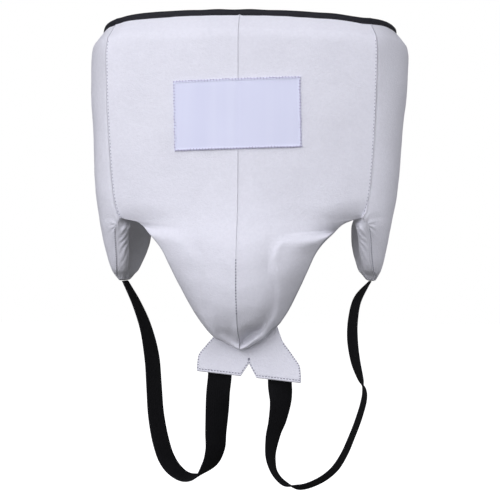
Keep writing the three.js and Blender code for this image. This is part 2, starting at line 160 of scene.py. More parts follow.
# Mesh fineness: rows down a piece and points across each of its skins
FRONT_ROWS_DOWN, FRONT_ACROSS, FRONT_INSIDE, FRONT_RIM = 330, 140, 46, 14
WING_ROWS_DOWN, WING_ACROSS, WING_INSIDE, WING_RIM, TIP_ROWS = 270, 90, 34, 24, 6
TOP_POINTS, BINDING_ACROSS = 60, 12
PATCH_ACROSS, PATCH_DOWN = 160, 90
TAIL_ACROSS, TAIL_DOWN, TAIL_RIM = 181, 64, 6
STRAP_STEPS, STRAP_RIBS, RIB_POINTS = 240, 11, 4
STITCH_RINGS, STITCH_SIDES, STITCH_TURN = 5, 6, math.radians(78)
LINE_POINTS, SEAM_POINTS, FLAP_EDGE_POINTS, FINE_POINTS = 60, 400, 200, 2000
EDGE_CROWDING = 0.6
SHARP_ANGLE = math.radians(60)


def table(columns, rows):
    return dict(zip(columns.split(), np.array(rows, float).T))


# Sections of the front half down to the tip of the cup: the crown on the centre seam, the
# shoulder where the skin turns, the edge, the wall's thickness, the edge's radius and how proud
# the flank is. Rows 8 to 11 lie up to about 3 mm behind the solids' rows
FRONT = table("crown_y crown_drop shoulder_x shoulder_y edge_x edge_y edge_drop wall round bow", [
    (-98.5, 7, 70, -94, 129, -83.5, 7, 5, 0, 0),
    (-105.5, 16, 71, -101, 132, -89.8, 16, 14, 0, 0),
    (-110.8, 25, 72.5, -106.3, 134, -94.3, 25, 20, 0, 0),
    (-112.3, 35, 73, -107.8, 134.2, -95, 35, 22, 0, 0),
    (-112.5, 70, 73.5, -108, 133.6, -95, 70, 22, 0, 0),
    (-112.5, 120, 73, -108, 131.6, -95, 120, 22, 0, 0),
    (-113.5, 160, 72, -108.5, 129, -95, 160, 22, 0, 0),
    (-115.6, 188, 70, -109.6, 125.8, -95.5, 188, 22, 0, 0),
    (-119.6, 208, 68, -111.2, 120, -96, 205.5, 21, 0, 0),
    (-124.6, 224, 62, -114.4, 103, -102, 210, 20, 5, 0),
    (-129.6, 240, 48, -120, 88, -106, 223, 19, 7, 0.5),
    (-131.5, 256, 39, -122.5, 76, -103, 238, 18, 7, 1),
    (-131.5, 273, 36.5, -121.5, 66.3, -99, 258, 18, 7, 1.5),
    (-129, 290, 35.5, -118, 56.5, -96, 278, 18, 7, 1.5),
    (-123.5, 304, 34, -112.5, 47, -95, 296, 16, 7, 1),
    (-116, 316.5, 30, -107, 37.7, -96, 310.5, 13, 6.5, 0),
    (-105, 326, 23, -101, 28, -95, 322.5, 11, 6, 0),
    (-99, 331.5, 14, -97.5, 17.5, -93.5, 331, 9, 5, 0),
    (-96.5, 335.5, 7, -95.5, 9, -92.5, 335.5, 7, 3, 0),
    (-93, 337, 3, -92.5, 4, -91, 337, 4, 1.2, 0),
])

# Levels of the wing: its widest place, its rear edge and its thickness
WING = table("drop side_x side_y rear_x rear_y wall", [
    (7, 152.8, -15, 140, 35, 5),
    (16, 159.6, -18, 146, 39, 14),
    (25, 164.5, -20.5, 150.5, 41.5, 20),
    (35, 165.7, -22, 151.5, 42, 22),
    (70, 164.1, -30, 150.5, 41, 22),
    (120, 159.1, -42, 146.5, 36, 22),
    (160, 156.2, -48.5, 141.5, 30.5, 22),
    (188, 153.2, -51, 136.5, 25, 21.5),
    (205.5, 149.8, -53, 128, 19.5, 21),
    (214, 148.2, -54, 125.5, 16, 21),
    (228, 145.6, -53, 125.2, 8, 20.5),
    (240, 143.1, -51.5, 126.6, -2, 20),
    (250, 140.8, -50, 128.2, -11, 18.5),
    (259, 137.8, -47, 129.6, -20, 16.5),
    (264.5, 134.9, -43, 132, -26, 13),
    (269.5, 131.8, -39, 130.5, -29, 7),
])
LOBE_EDGE = table("drop x y", [
    (205.5, 120.3, -95.9),
    (214, 124, -91),
    (228, 126, -82),
    (240, 126.5, -75.5),
    (250, 127.5, -70),
    (259, 129, -63),
    (264.5, 131, -54),
    (269.5, 129.5, -48),
])

# The flap from its sewn root to its lower edge, and where each column of it ends
TAIL_ROWS = table("along y drop half_width", [
    (0, -84, 314.9, 27.8),
    (0.17, -84.2, 324.7, 33.2),
    (0.38, -84.8, 336.1, 42.1),
    (0.68, -86, 349.4, 50.8),
    (1, -87.5, 362.8, 51.7),
    (1.1, -88, 367.4, 51.7),
])
TAIL_REACH = table("across reach", [(0, 0.69), (0.15, 1), (1, 1)])

# Routes of the straps, and the turn of the webbing about its own run in degrees
STRAP_ROWS = {
    LEFT: table("x y drop face", [
        (-21.6, -82.5, 349.5, 0),
        (-22.1, -80, 363.8, 0),
        (-24.8, -72, 380.7, 2),
        (-27.4, -60, 402.5, 20),
        (-29.9, -50, 424.3, 33),
        (-31.8, -42, 443.8, 42),
        (-38.1, -36, 459.4, 58),
        (-51.4, -31.5, 472.9, 88),
        (-64.1, -31, 474.3, 103),
        (-75.2, -31, 467.7, 114),
        (-84.1, -31, 455.9, 122),
        (-90.6, -31.5, 436.3, 124),
        (-95.3, -32.5, 409.1, 122),
        (-97.1, -34, 379.7, 120),
        (-99.1, -35, 350.5, 118),
        (-105.2, -37, 319.2, 108),
        (-114.4, -38.5, 294.2, 99),
        (-126.2, -40, 270.6, 90),
    ]),
    RIGHT: table("x y drop face", [
        (38.9, -82.5, 354.9, 0),
        (38.0, -79, 370.1, 4),
        (38.4, -71, 388.1, 30),
        (34.4, -60, 409.8, 46),
        (29.2, -51, 427.3, 58),
        (26.4, -44, 445.6, 69),
        (27.4, -39, 458.6, 79),
        (31.3, -35, 470.1, 88),
        (39.4, -31.5, 478.9, 92),
        (54.3, -31, 482.8, 111),
        (74, -31, 476.2, 111),
        (89.4, -31, 464.6, 110),
        (99.6, -31.5, 449.5, 107),
        (107.8, -32, 431, 105),
        (115.6, -33, 410.2, 104),
        (120.6, -34, 391.6, 102),
        (120.7, -35, 381.2, 95),
        (117.4, -35, 371, 77),
        (112.2, -36, 352.6, 67),
        (109.1, -37, 330, 64),
        (109.6, -38, 309.5, 67),
        (114.1, -39, 289, 72),
        (126.2, -40, 271, 88),
    ]),
}

# The cup's raised lip, from its tip up to the leg opening: where it runs on each half, how
# high it stands, how deep the hollow inside it is and how far a broad swelling lifts it
CREST = {
    RIGHT: table("x drop height valley swell", [
        (0, 336, 4.6, 6, 0),
        (5, 335, 4.8, 9, 0),
        (14.5, 330, 5, 11.5, 0),
        (24, 324.5, 4.6, 10, 0),
        (34, 311.5, 4.6, 5.5, 0),
        (40, 295.5, 3.6, 2.2, 0),
        (41.5, 274, 2.7, 0.9, 0),
        (37.5, 249, 1.9, 0.6, 0),
        (41.5, 234, 1.8, 0.5, 0.5),
        (49.5, 230, 1, 0.3, 0.9),
        (62, 229.5, 0.5, 0.2, 1.8),
        (74, 229, 0.5, 0, 2.4),
        (84, 226, 0.4, 0, 1.2),
    ]),
    LEFT: table("x drop height valley swell", [
        (0, 336, 4.2, 2, 0),
        (5, 335, 4, 0.4, 0),
        (14.5, 330, 3.6, 0.2, 0),
        (22, 324.5, 2.6, 0.1, 0),
        (29, 314.5, 1.4, 0, 0),
        (34.9, 296.5, 0.4, 0.1, 0),
        (37, 276, 0, 0, 0),
        (38, 258, 0.2, 0, 0),
        (44, 243, 0.6, 0, 0),
        (54, 231, 1.0, 0.2, 0.3),
        (70, 223.5, 1.0, 0.2, 0.8),
        (86, 219, 0.8, 0, 1),
    ]),
}

# How much fuller than the plain form the cup's flanks are, and how far forward their edges are
FLANK = {
    RIGHT: table("drop fuller edge", [
        (214, 0, 0),
        (236, 3, 1),
        (252, 3, 0),
        (276, -0.5, -6),
        (300, -4, -14),
        (316, -3, -10),
        (330, 0, 0),
    ]),
    LEFT: table("drop fuller edge", [
        (218, 0, 0),
        (250, 2.5, 9),
        (266, 2.5, 9),
        (296, 2, 7),
        (322, 0, 0),
    ]),
}

# How much higher the cup's lower edge is than its sections say, out from the centre seam
TIP_TRIM = {
    RIGHT: table("x trim", [(0, 0.3), (7, 1.8), (15, 2.8), (22, 3), (30, 4), (38, 0)]),
    LEFT: table("x trim", [(0, 0.3), (4, 1.8), (9, 3.1), (17.5, 3), (25, 0.4), (32, 0)]),
}

# Folds where the belly rolls under above the leg openings: their route inwards, how deep they
# are, how wide the roll above and the rise below them are, and how much painted shade lies in the crease
FOLDS = {
    RIGHT: table("x drop depth roll rise shade", [
        (128, 209, 6, 26, 2.5, 0.1),
        (115, 212, 10, 26, 2.5, 0.2),
        (104, 215.5, 13.5, 26, 2.5, 0.4),
        (93, 219.8, 15, 26, 2.2, 0.85),
        (84, 221, 10, 27, 3, 0.45),
        (72, 222, 5.5, 30, 6, 0.08),
        (58, 223, 3, 32, 8, 0),
        (42, 225, 0, 32, 8, 0),
    ]),
    LEFT: table("x drop depth roll rise shade", [
        (128, 207, 3, 24, 5, 0.1),
        (114, 209.5, 4.5, 24, 5, 0.2),
        (102, 212.5, 6.5, 24, 5, 0.35),
        (91, 215, 7, 24, 5, 0.4),
        (79, 216, 5, 25, 6, 0.12),
        (66, 216, 3, 26, 8, 0.05),
        (52, 215, 1.2, 28, 8, 0),
        (38, 217, 0, 28, 8, 0),
    ]),
}


def hermite(start, end, slope_start, slope_end, share):
    s2 = share * share
    s3 = s2 * share
    leaving = start * (2 * s3 - 3 * s2 + 1) + slope_start * (s3 - 2 * s2 + share)
    return leaving + end * (3 * s2 - 2 * s3) + slope_end * (s3 - s2)


def monotone(keys, values):
    """Smooth curve through table values that never overshoots them."""
    keys = np.asarray(keys, float)
    values = np.asarray(values, float)
    chords = np.diff(values) / np.diff(keys)
    product = chords[:-1] * chords[1:]
    total = np.where(product > 0, chords[:-1] + chords[1:], 1)
    inside = np.where(product > 0, 2 * product / total, 0)
    slopes = np.concatenate([chords[:1], inside, chords[-1:]])

    def at(query):
        i = np.clip(np.searchsorted(keys, query) - 1, 0, len(keys) - 2)
        span = keys[i + 1] - keys[i]
        share = (query - keys[i]) / span
        return hermite(values[i], values[i + 1], slopes[i] * span, slopes[i + 1] * span, share)

    return at


def sampler(columns, keys):
    curves = {name: monotone(keys, values) for name, values in columns.items()}
    return lambda query: {name: curve(query) for name, curve in curves.items()}


LAST_ROW = len(FRONT["wall"]) - 1
front_at = sampler(FRONT, np.arange(LAST_ROW + 1))
wing_at = sampler(WING, WING["drop"])
lobe_edge_at = sampler(LOBE_EDGE, LOBE_EDGE["drop"])
tail_at = sampler(TAIL_ROWS, TAIL_ROWS["along"])
SEAM_AT = front_at(np.linspace(0, SEAM_END_ROW, FINE_POINTS))
BELLY_ROWS = np.linspace(0, BELLY_END_ROW, FINE_POINTS)
BELLY_DROPS = front_at(BELLY_ROWS)["crown_drop"]


def stacked(row, *names):
    """Columns of a table side by side, as points."""
    return np.stack([row[name] for name in names], axis=-1)


def interpolated(query, keys, points):
    """Points at query places, from points known at rising keys."""
    return np.stack([np.interp(query, keys, values) for values in points.T], axis=-1)


def smoothstep(low, high, value):
    share = np.clip((value - low) / (high - low), 0, 1)
    return share * share * (3 - 2 * share)


def between(start, full, fade, end, value):
    """Share of a feature that comes in and goes out again."""
    return smoothstep(start, full, value) * (1 - smoothstep(fade, end, value))


def bell(distance, width):
    return np.exp(-((distance / width) ** 2))


def ridge(away, height, at, width):
    return height * bell(away - at, width)


def unit(vectors):
    return vectors / np.maximum(np.linalg.norm(vectors, axis=-1, keepdims=True), 1e-9)


def square_to(run, facing):
    """Unit vectors square to run that face as nearly as they can the way of facing."""
    return unit(facing - run * np.sum(facing * run, axis=-1, keepdims=True))


def crowded(count):
    """Shares from 0 to 1 that lie closer together towards both ends."""
    share = np.linspace(0, 1, count)
    return share - EDGE_CROWDING * np.sin(2 * np.pi * share) / (2 * np.pi)


def normals(grid):
    """Unit normals of a grid of points, which face the viewer's side of it."""
    return unit(np.cross(np.gradient(grid, axis=1), np.gradient(grid, axis=0)))


def drift(x, drop, reach, seed):
    """Smooth unevenness between about -1 and 1, with waves about as long as reach."""
    rng = np.random.default_rng(seed)
    total = np.zeros(np.broadcast(x, drop).shape)
    for _ in range(WAVES):
        angle, phase, stretch = rng.random(3)
        length = reach * (WAVE_SHORTEST + WAVE_SPREAD * stretch)
        run = x * math.cos(math.pi * angle) + drop * math.sin(math.pi * angle)
        total += np.sin(2 * math.pi * (run / length + phase))
    return total / (WAVES / 2)


def uneven(x, drop, waves, seed_shift=0):
    return sum(height * drift(x, drop, reach, seed + seed_shift) for height, reach, seed in waves)


def smooth_line(points, shares):
    """Places on a centripetal Catmull-Rom curve through points, at shares of its point count."""
    last = len(points) - 1
    knots = np.concatenate([[2 * points[0] - points[1]], points, [2 * points[-1] - points[-2]]])
    steps = np.sqrt(np.linalg.norm(np.diff(knots, axis=0), axis=1))[:, None]
    i = np.minimum((shares * last).astype(int), last - 1)
    before, here, after = steps[i], steps[i + 1], steps[i + 2]
    p0, p1, p2, p3 = (knots[i + k] for k in range(4))
    leave = ((p1 - p0) / before - (p2 - p0) / (before + here) + (p2 - p1) / here) * here
    arrive = ((p2 - p1) / here - (p3 - p1) / (here + after) + (p3 - p2) / after) * here
    return hermite(p1, p2, leave, arrive, (shares * last - i)[:, None])


def lengths(points):
    """Distance travelled along a chain of points, at each of them."""
    return np.concatenate([[0], np.cumsum(np.linalg.norm(np.diff(points, axis=0), axis=1))])


def near_line(x, drop, rows):
    """Signed distance from a smooth line through a table's x and drop, positive on the right of
    its run, and the table's values at the nearest place."""
    line = smooth_line(stacked(rows, "x", "drop"), np.linspace(0, 1, LINE_POINTS))
    nearest = np.full(x.shape, np.inf)
    signed = np.zeros(x.shape)
    share = np.zeros(x.shape)
    for i, (start, end) in enumerate(zip(line, line[1:])):
        span = np.linalg.norm(end - start)
        run = (end - start) / span
        along = np.clip((x - start[0]) * run[0] + (drop - start[1]) * run[1], 0, span)
        away = np.hypot(x - start[0] - along * run[0], drop - start[1] - along * run[1])
        right = (drop - start[1]) * run[0] - (x - start[0]) * run[1]
        closer = away < nearest
        signed = np.where(closer, np.copysign(away, right), signed)
        share = np.where(closer, (i + along / span) / (LINE_POINTS - 1), share)
        nearest = np.minimum(nearest, away)
    stops = np.linspace(0, 1, len(rows["x"]))
    return signed, {name: np.interp(share, stops, values) for name, values in rows.items()}


# Moves that finish a shape worked out on the right-hand side


def trimmed_tip(points, side):
    """Cuts the cup's lower edge straighter."""
    rows = TIP_TRIM[side]
    trim = monotone(rows["x"], rows["trim"])(np.clip(points[..., 0], 0, rows["x"][-1]))
    moved = points.copy()
    moved[..., 2] += trim * smoothstep(*TIP_TRIM_DROPS, -points[..., 2])
    return moved


def rounded_corner(points, side):
    """Draws in the corner where the front meets the wing, near the top edge."""
    drop = -points[..., 2]
    corner = interpolated(drop, SEAM_AT["edge_drop"], stacked(SEAM_AT, "edge_x", "edge_y"))
    from_corner = points[..., :2] - corner
    along = from_corner @ CORNER_ALONG
    rule = CORNER[side]
    share = 1 - smoothstep(*CORNER_DROPS, drop)
    inward = rule["in"] * bell(np.linalg.norm(from_corner, axis=-1), CORNER_WIDTH) * share
    behind = rule["behind"] * smoothstep(*CORNER_BEHIND, along)
    moved = points.copy()
    moved[..., :2] += inward[..., None] * CORNER_IN
    moved[..., 2] -= (rule["fall"] * bell(along, CORNER_FALL_WIDTH) + behind) * share
    return moved


def handed(points, side):
    return points * np.array([side, 1, 1])


def slanted(points):
    """Slants the top edge, by less and less further down."""
    x = np.clip(points[..., 0], -TOP_SLANT["corner"], TOP_SLANT["corner"])
    fall = TOP_SLANT["tilt"] * x + TOP_SLANT["droop"] * (x / TOP_SLANT["corner"]) ** 2
    moved = points.copy()
    moved[..., 2] -= smoothstep(-TOP_SLANT["fade"], 0, points[..., 2]) * fall
    return moved


def finished(points, side):
    return slanted(handed(rounded_corner(trimmed_tip(points, side), side), side))


# Meshes


def bridged(near, far):
    """Triangles between two chains of points that start and end side by side."""
    faces = []
    i = j = 0
    while i + 1 < len(near) or j + 1 < len(far):
        near_next = (i + 1) / max(1, len(near) - 1)
        far_next = (j + 1) / max(1, len(far) - 1)
        if j + 1 == len(far) or (i + 1 < len(near) and near_next <= far_next):
            faces.append((near[i + 1], near[i], far[j]))
            i += 1
        else:
            faces.append((near[i], far[j], far[j + 1]))
            j += 1
    return faces


def tube_faces(rows, count):
    """Quads of a closed band through rows of count points each."""
    index = np.arange(rows * count).reshape(rows, count)
    following = np.roll(index, -1, axis=1)
    quads = np.stack([index[:-1], following[:-1], following[1:], index[1:]], axis=-1)
    return [tuple(quad) for quad in quads.reshape(-1, 4).tolist()]


def lofted(grid, split):
    """Points and faces of a closed solid through rows of points. Each end is filled between
    the first split points of its row and the rest."""
    rows, count = grid.shape[:2]
    first = list(range(count))
    last = [(rows - 1) * count + i for i in first]
    faces = tube_faces(rows, count) + bridged(first[:split], first[split:][::-1])
    faces += [face[::-1] for face in bridged(last[:split], last[split:][::-1])]
    return grid.reshape(-1, 3), faces


def rim(start, end, swell, round_, count):
    """Points along a rounded edge between two skins, for every row."""
    share = np.linspace(0, 1, count + 2)[1:-1, None]
    straight = start[:, None] + (end - start)[:, None] * share
    return straight + swell[:, None] * (round_[:, None, None] * np.sin(np.pi * share))


def faces_out(points, faces):
    """Whether most of the volume that the faces enclose lies behind them."""
    centred = np.asarray(points) - np.mean(points, axis=0)
    fans = [(face[0], b, c) for face in faces for b, c in zip(face[1:], face[2:])]
    a, b, c = centred[np.array(fans)].transpose(1, 0, 2)
    return np.einsum("ij,ij->", a, np.cross(b, c)) > 0


def new_piece(name, points, faces, material, replaces=None):
    """Adds a closed mesh piece to the object, with its faces turned outwards."""
    if not faces_out(points, faces):
        faces = [tuple(reversed(face)) for face in faces]
    mesh = bpy.data.meshes.new(name)
    mesh.from_pydata((np.asarray(points) * MM).tolist(), [], faces)
    mesh.shade_smooth()
    mesh.set_sharp_from_angle(angle=SHARP_ANGLE)
    mesh.materials.append(material)
    piece = bpy.data.objects.new(name, mesh)
    bpy.context.scene.collection.objects.link(piece)
    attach(piece, "root")
    if replaces:
        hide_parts(replaces)
    return piece


def set_attribute(piece, name, values):
    """Writes one number for each point of a piece."""
    made = piece.data.attributes.new(name, "FLOAT", "POINT")
    made.data.foreach_set("value", np.asarray(values, np.float32).ravel())


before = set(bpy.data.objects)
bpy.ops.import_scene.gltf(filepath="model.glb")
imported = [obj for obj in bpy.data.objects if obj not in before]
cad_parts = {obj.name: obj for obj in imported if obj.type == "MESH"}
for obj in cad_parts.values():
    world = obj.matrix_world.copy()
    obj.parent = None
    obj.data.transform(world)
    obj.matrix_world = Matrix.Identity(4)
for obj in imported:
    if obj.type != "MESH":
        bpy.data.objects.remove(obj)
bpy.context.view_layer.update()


# Materials


class Shader:
    """A material whose nodes are added and linked in one call each."""

    def __init__(self, name):
        self.material = bpy.data.materials.new(name)
        self.material.use_nodes = True
        self.tree = self.material.node_tree
        self.surface = self.tree.nodes["Principled BSDF"]
        self.place = self.add("ShaderNodeTexCoord").outputs["Object"]

    def add(self, kind, inputs=None, **settings):
        node = self.tree.nodes.new(kind)
        for key, value in settings.items():
            setattr(node, key, value)
        for key, value in (inputs or {}).items():
            self.put(node.inputs[key], value)
        return node

    def put(self, socket, value):
        if isinstance(value, bpy.types.NodeSocket):
            self.tree.links.new(value, socket)
        else:
            socket.default_value = value

    def noise(self, scale, detail=2.0, stretch=(1, 1, 1)):
        place = self.add("ShaderNodeMapping", {"Vector": self.place, "Scale": stretch})
        inputs = {"Vector": place.outputs[0], "Scale": scale, "Detail": detail}
        return self.add("ShaderNodeTexNoise", inputs).outputs["Fac"]

    def mixed(self, share, first, second):
        node = self.add("ShaderNodeMix", {0: share, 6: first, 7: second}, data_type="RGBA")
        return node.outputs[2]

    def ranged(self, value, low, high, to_low=0.0, to_high=1.0):
        inputs = {"Value": value, "From Min": low, "From Max": high, "To Min": to_low, "To Max": to_high}
        return self.add("ShaderNodeMapRange", inputs).outputs["Result"]

    def maths(self, operation, *values):
        return self.add("ShaderNodeMath", dict(enumerate(values)), operation=operation).outputs[0]

    def attribute(self, name):
        return self.add("ShaderNodeAttribute", attribute_name=name).outputs["Fac"]

    def bump(self, height, strength, distance):
        inputs = {"Height": height, "Strength": strength, "Distance": distance}
        return self.add("ShaderNodeBump", inputs).outputs["Normal"]

    def finish(self, **sockets):
        for name, value in sockets.items():
            self.put(self.surface.inputs[name.replace("_", " ")], value)
        return self.material


def leather(name, light, dark, painted_shade):
    """Smooth coated leather with a fine pebbled grain, darkened towards its shade colour by painted shade
    from a point attribute in seams, creases and hollows; the grain mottles a little towards that colour
    too.
    """
    shader = Shader(name)
    clouds = shader.noise(scale=20.0, detail=4.0)
    grain = shader.noise(scale=330.0, detail=5.0)
    wrinkles = shader.noise(scale=120.0, detail=4.0, stretch=(1, 1, 1.8))
    cells = shader.add("ShaderNodeTexVoronoi", {"Vector": shader.place, "Scale": 700.0})
    tone = shader.mixed(shader.ranged(clouds, 0.35, 0.65), dark, light)
    # Painted shade: the colour is darkened towards the shade colour where the point attribute marks shade
    # in seams, creases, hollows and under edges
    tone = shader.mixed(shader.attribute("painted_shade"), tone, painted_shade)
    tone = shader.mixed(shader.ranged(grain, 0.3, 0.7, 0.0, 0.09), tone, painted_shade)
    pebbles = shader.maths("ADD", cells.outputs["Distance"], grain)
    height = shader.maths("ADD", pebbles, shader.maths("MULTIPLY", wrinkles, 1.5))
    return shader.finish(
        Base_Color=tone,
        Roughness=shader.ranged(grain, 0.3, 0.7, 0.44, 0.56),
        Normal=shader.bump(height, strength=0.4, distance=0.0005),
        Specular_IOR_Level=0.32,
    )


def satin(name, light, dark):
    """Smooth cloth with faint upright threads."""
    shader = Shader(name)
    threads = shader.noise(scale=260.0, detail=3.0, stretch=(1, 1, 0.06))
    streaks = shader.noise(scale=70.0, stretch=(1, 1, 0.03))
    return shader.finish(
        Base_Color=shader.mixed(shader.ranged(streaks, 0.35, 0.65), dark, light),
        Roughness=shader.ranged(threads, 0.3, 0.7, 0.5, 0.66),
        Normal=shader.bump(threads, strength=0.25, distance=0.0003),
        Specular_IOR_Level=0.3,
    )


def webbing(name, light, dark, rough):
    """Black woven tape: fine picks across ribs that run along it, from its "along" and "across"."""
    shader = Shader(name)
    picks = shader.maths("SINE", shader.maths("MULTIPLY", shader.attribute("along"), 5.2))
    ribs = shader.maths("SINE", shader.maths("MULTIPLY", shader.attribute("across"), 5.8))
    weave = shader.maths("MULTIPLY", picks, ribs)
    fuzzy = shader.maths("ADD", weave, shader.noise(scale=900.0))
    return shader.finish(
        Base_Color=shader.mixed(shader.ranged(fuzzy, -0.6, 1.6), dark, light),
        Roughness=rough,
        Normal=shader.bump(weave, strength=0.35, distance=0.0004),
        Specular_IOR_Level=0.25,
    )


def thread(name, light, dark):
    """Twisted sewing thread."""
    shader = Shader(name)
    tone = shader.mixed(shader.ranged(shader.noise(scale=1500.0), 0.3, 0.7), dark, light)
    return shader.finish(Base_Color=tone, Roughness=0.7, Specular_IOR_Level=0.2)


LEATHER_TONES = (0.86, 0.86, 0.9, 1), (0.83, 0.83, 0.87, 1)
# The last colour of each leather is the colour of its painted shade; the flap's is lighter, so its
# painted shade is fainter
WHITE_LEATHER = leather("white_leather", *LEATHER_TONES, (0.42, 0.42, 0.45, 1))
FLAP_LEATHER = leather("flap_leather", *LEATHER_TONES, (0.5, 0.5, 0.56, 1))
PATCH_SATIN = satin("patch_satin", (0.8, 0.82, 0.96, 1), (0.77, 0.79, 0.94, 1))
BLACK_WEBBING = webbing("black_webbing", (0.0055, 0.0055, 0.007, 1), (0.002, 0.002, 0.0028, 1), 0.75)
BINDING_TAPE = webbing("binding_tape", (0.018, 0.018, 0.024, 1), (0.007, 0.007, 0.01, 1), 0.5)
# The dark thread and the grey seam thread give the dark dots along seams: partly the thread's own colour,
# partly painted shade of the needle holes between stitches
DARK_THREAD_AND_PAINTED_SHADE = thread("dark_thread_and_painted_shade", (0.3, 0.3, 0.36, 1), (0.16, 0.16, 0.2, 1))
PATCH_THREAD = thread("patch_thread", (0.56, 0.53, 0.67, 1), (0.46, 0.43, 0.57, 1))
SEAM_THREAD_AND_PAINTED_SHADE = thread("seam_thread_and_painted_shade", (0.5, 0.5, 0.57, 1), (0.36, 0.36, 0.42, 1))
BLACK_THREAD = thread("black_thread", (0.02, 0.02, 0.022, 1), (0.008, 0.008, 0.009, 1))


# Stitches: the length, width and height of each kind, its thread and slot, and its pitch

STITCHES = {
    "binding_stitches": ((2.2, 0.55, 0.5), BLACK_THREAD, "black_webbing"),
    "patch_stitches": ((2.3, 1.05, 0.7), PATCH_THREAD, "patch_fabric"),
    "patch_cord": ((3.2, 0.7, 0.5), PATCH_THREAD, "patch_fabric"),
    "flap_stitches": ((1.9, 0.75, 0.6), DARK_THREAD_AND_PAINTED_SHADE, "white_leather"),
    "flap_edge_stitches": ((2.2, 0.7, 0.6), DARK_THREAD_AND_PAINTED_SHADE, "white_leather"),
    "flap_tack": ((2.6, 0.8, 0.7), DARK_THREAD_AND_PAINTED_SHADE, "white_leather"),
    "seam_stitches": ((1.5, 0.9, 0.7), SEAM_THREAD_AND_PAINTED_SHADE, "white_leather"),
    "centre_stitches": ((1.5, 1.2, 0.9), DARK_THREAD_AND_PAINTED_SHADE, "white_leather"),
    "lobe_stitches": ((1.3, 0.8, 0.6), DARK_THREAD_AND_PAINTED_SHADE, "white_leather"),
}
PITCHES = {
    "binding_stitches": 3.2,
    "patch_stitches": 3.05,
    "flap_stitches": 3.0,
    "flap_edge_stitches": 2.6,
    "seam_stitches": 3.4,
    "centre_stitches": 2.9,
    "lobe_stitches": 2.6,
}


def stitches(kind, places, runs, facing, side=None):
    """One piece of many stitches: their places and the ways they run and face."""
    (length, width, height), material, slot = STITCHES[kind]
    name = f"{kind}_{SIDE_NAMES[side]}" if side else kind
    tilt = np.linspace(-1, 1, STITCH_RINGS) * STITCH_TURN
    around = np.linspace(0, 2 * math.pi, STITCH_SIDES, endpoint=False)
    across = np.cross(runs, facing)
    along = runs[:, None, None] * (np.sin(tilt) * length / 2)[None, :, None, None]
    wide = across[:, None, None] * (np.cos(around) * width / 2)[None, None, :, None]
    high = facing[:, None, None] * (np.sin(around) * height / 2)[None, None, :, None]
    points = places[:, None, None] + along + (wide + high) * np.cos(tilt)[None, :, None, None]
    count = STITCH_RINGS * STITCH_SIDES
    caps = [tuple(range(STITCH_SIDES))[::-1], tuple(range(count - STITCH_SIDES, count))]
    one = tube_faces(STITCH_RINGS, STITCH_SIDES) + caps
    faces = [tuple(i + n * count for i in face) for n in range(len(places)) for face in one]
    new_piece(name, points.reshape(-1, 3), faces, material)


def spaced(kind, line, facing):
    """Places, runs and facings of stitches at their pitch along a chain of points."""
    run = lengths(line)
    stops = np.arange(PITCHES[kind] / 2, run[-1], PITCHES[kind])
    way = unit(interpolated(stops, run, np.gradient(line, axis=0)))
    return interpolated(stops, run, line), way, square_to(way, interpolated(stops, run, facing))


def column_line(grid, position):
    """Points along a grid at a fractional column position for each row."""
    low = np.clip(np.floor(position).astype(int), 0, grid.shape[1] - 2)
    part = (position - low)[:, None]
    rows = np.arange(len(grid))
    return grid[rows, low] * (1 - part) + grid[rows, low + 1] * part


def inset_line(skin, away, inset):
    """Points and normals down a skin where away, which rises along each row, has the value of
    inset."""
    position = np.array([np.interp(inset, row, np.arange(len(row))) for row in away])
    return column_line(skin, position), column_line(normals(skin), position)


def skin_stitches(kind, side, line, facing, drop, limits):
    """Stitches along a line on a skin, from the rows whose drop lies between the limits."""
    kept = (drop > limits[0]) & (drop < limits[1])
    stitches(kind, *spaced(kind, finished(line[kept], side), handed(facing[kept], side)), side)


# Front panels: closed pads from the top edge to the tip of the cup


def front_row(u, reach=1.0, edge_round=1.0):
    """Front table at row positions u, with the edge moved to leave room for its rounding, and
    the way that the edge swells."""
    row = {name: values[:, None] for name, values in front_at(u).items()}
    before = front_at(np.maximum(0, u - SLOPE_STEP))
    after = front_at(np.minimum(LAST_ROW, u + SLOPE_STEP))
    rise = after["edge_drop"] - before["edge_drop"]
    out = after["edge_x"] - before["edge_x"]
    swell = unit(np.stack([rise, np.zeros_like(rise), out], axis=-1))
    outward = (reach - edge_round) * row["round"]
    row["edge_x"] = row["edge_x"] + outward * swell[:, :1]
    row["edge_drop"] = row["edge_drop"] - outward * swell[:, 2:]
    row["round"] = edge_round * row["round"]
    row["shoulder_x"] = np.minimum(row["shoulder_x"], SHOULDER_LIMIT * row["edge_x"])
    return row, swell


def front_depth(row, t):
    """Depth of the plain skin at shares t of the way from the centre seam to the edge."""
    bend = row["shoulder_x"] / row["edge_x"]
    rise = (row["shoulder_y"] - row["crown_y"]) / bend
    fall = (row["edge_y"] - row["shoulder_y"]) / (1 - bend)
    turn = (rise + fall) / 2
    past = np.maximum(0, (t - bend) / (1 - bend))
    inside = hermite(row["crown_y"], row["shoulder_y"], 0, turn * bend, t / bend)
    leaving = (2 * fall - turn) * (1 - bend)
    outside = hermite(row["shoulder_y"], row["edge_y"], turn * (1 - bend), leaving, past)
    return np.where(t < bend, inside, outside) - 4 * row["bow"] * past * (1 - past)


def front_outer(u, t, *edge):
    row, _ = front_row(u, *edge)
    x = GAP / 2 + t * (row["edge_x"] - GAP / 2)
    z = -(row["crown_drop"] + t * (row["edge_drop"] - row["crown_drop"]))
    return np.stack([x, front_depth(row, t), z], axis=-1)


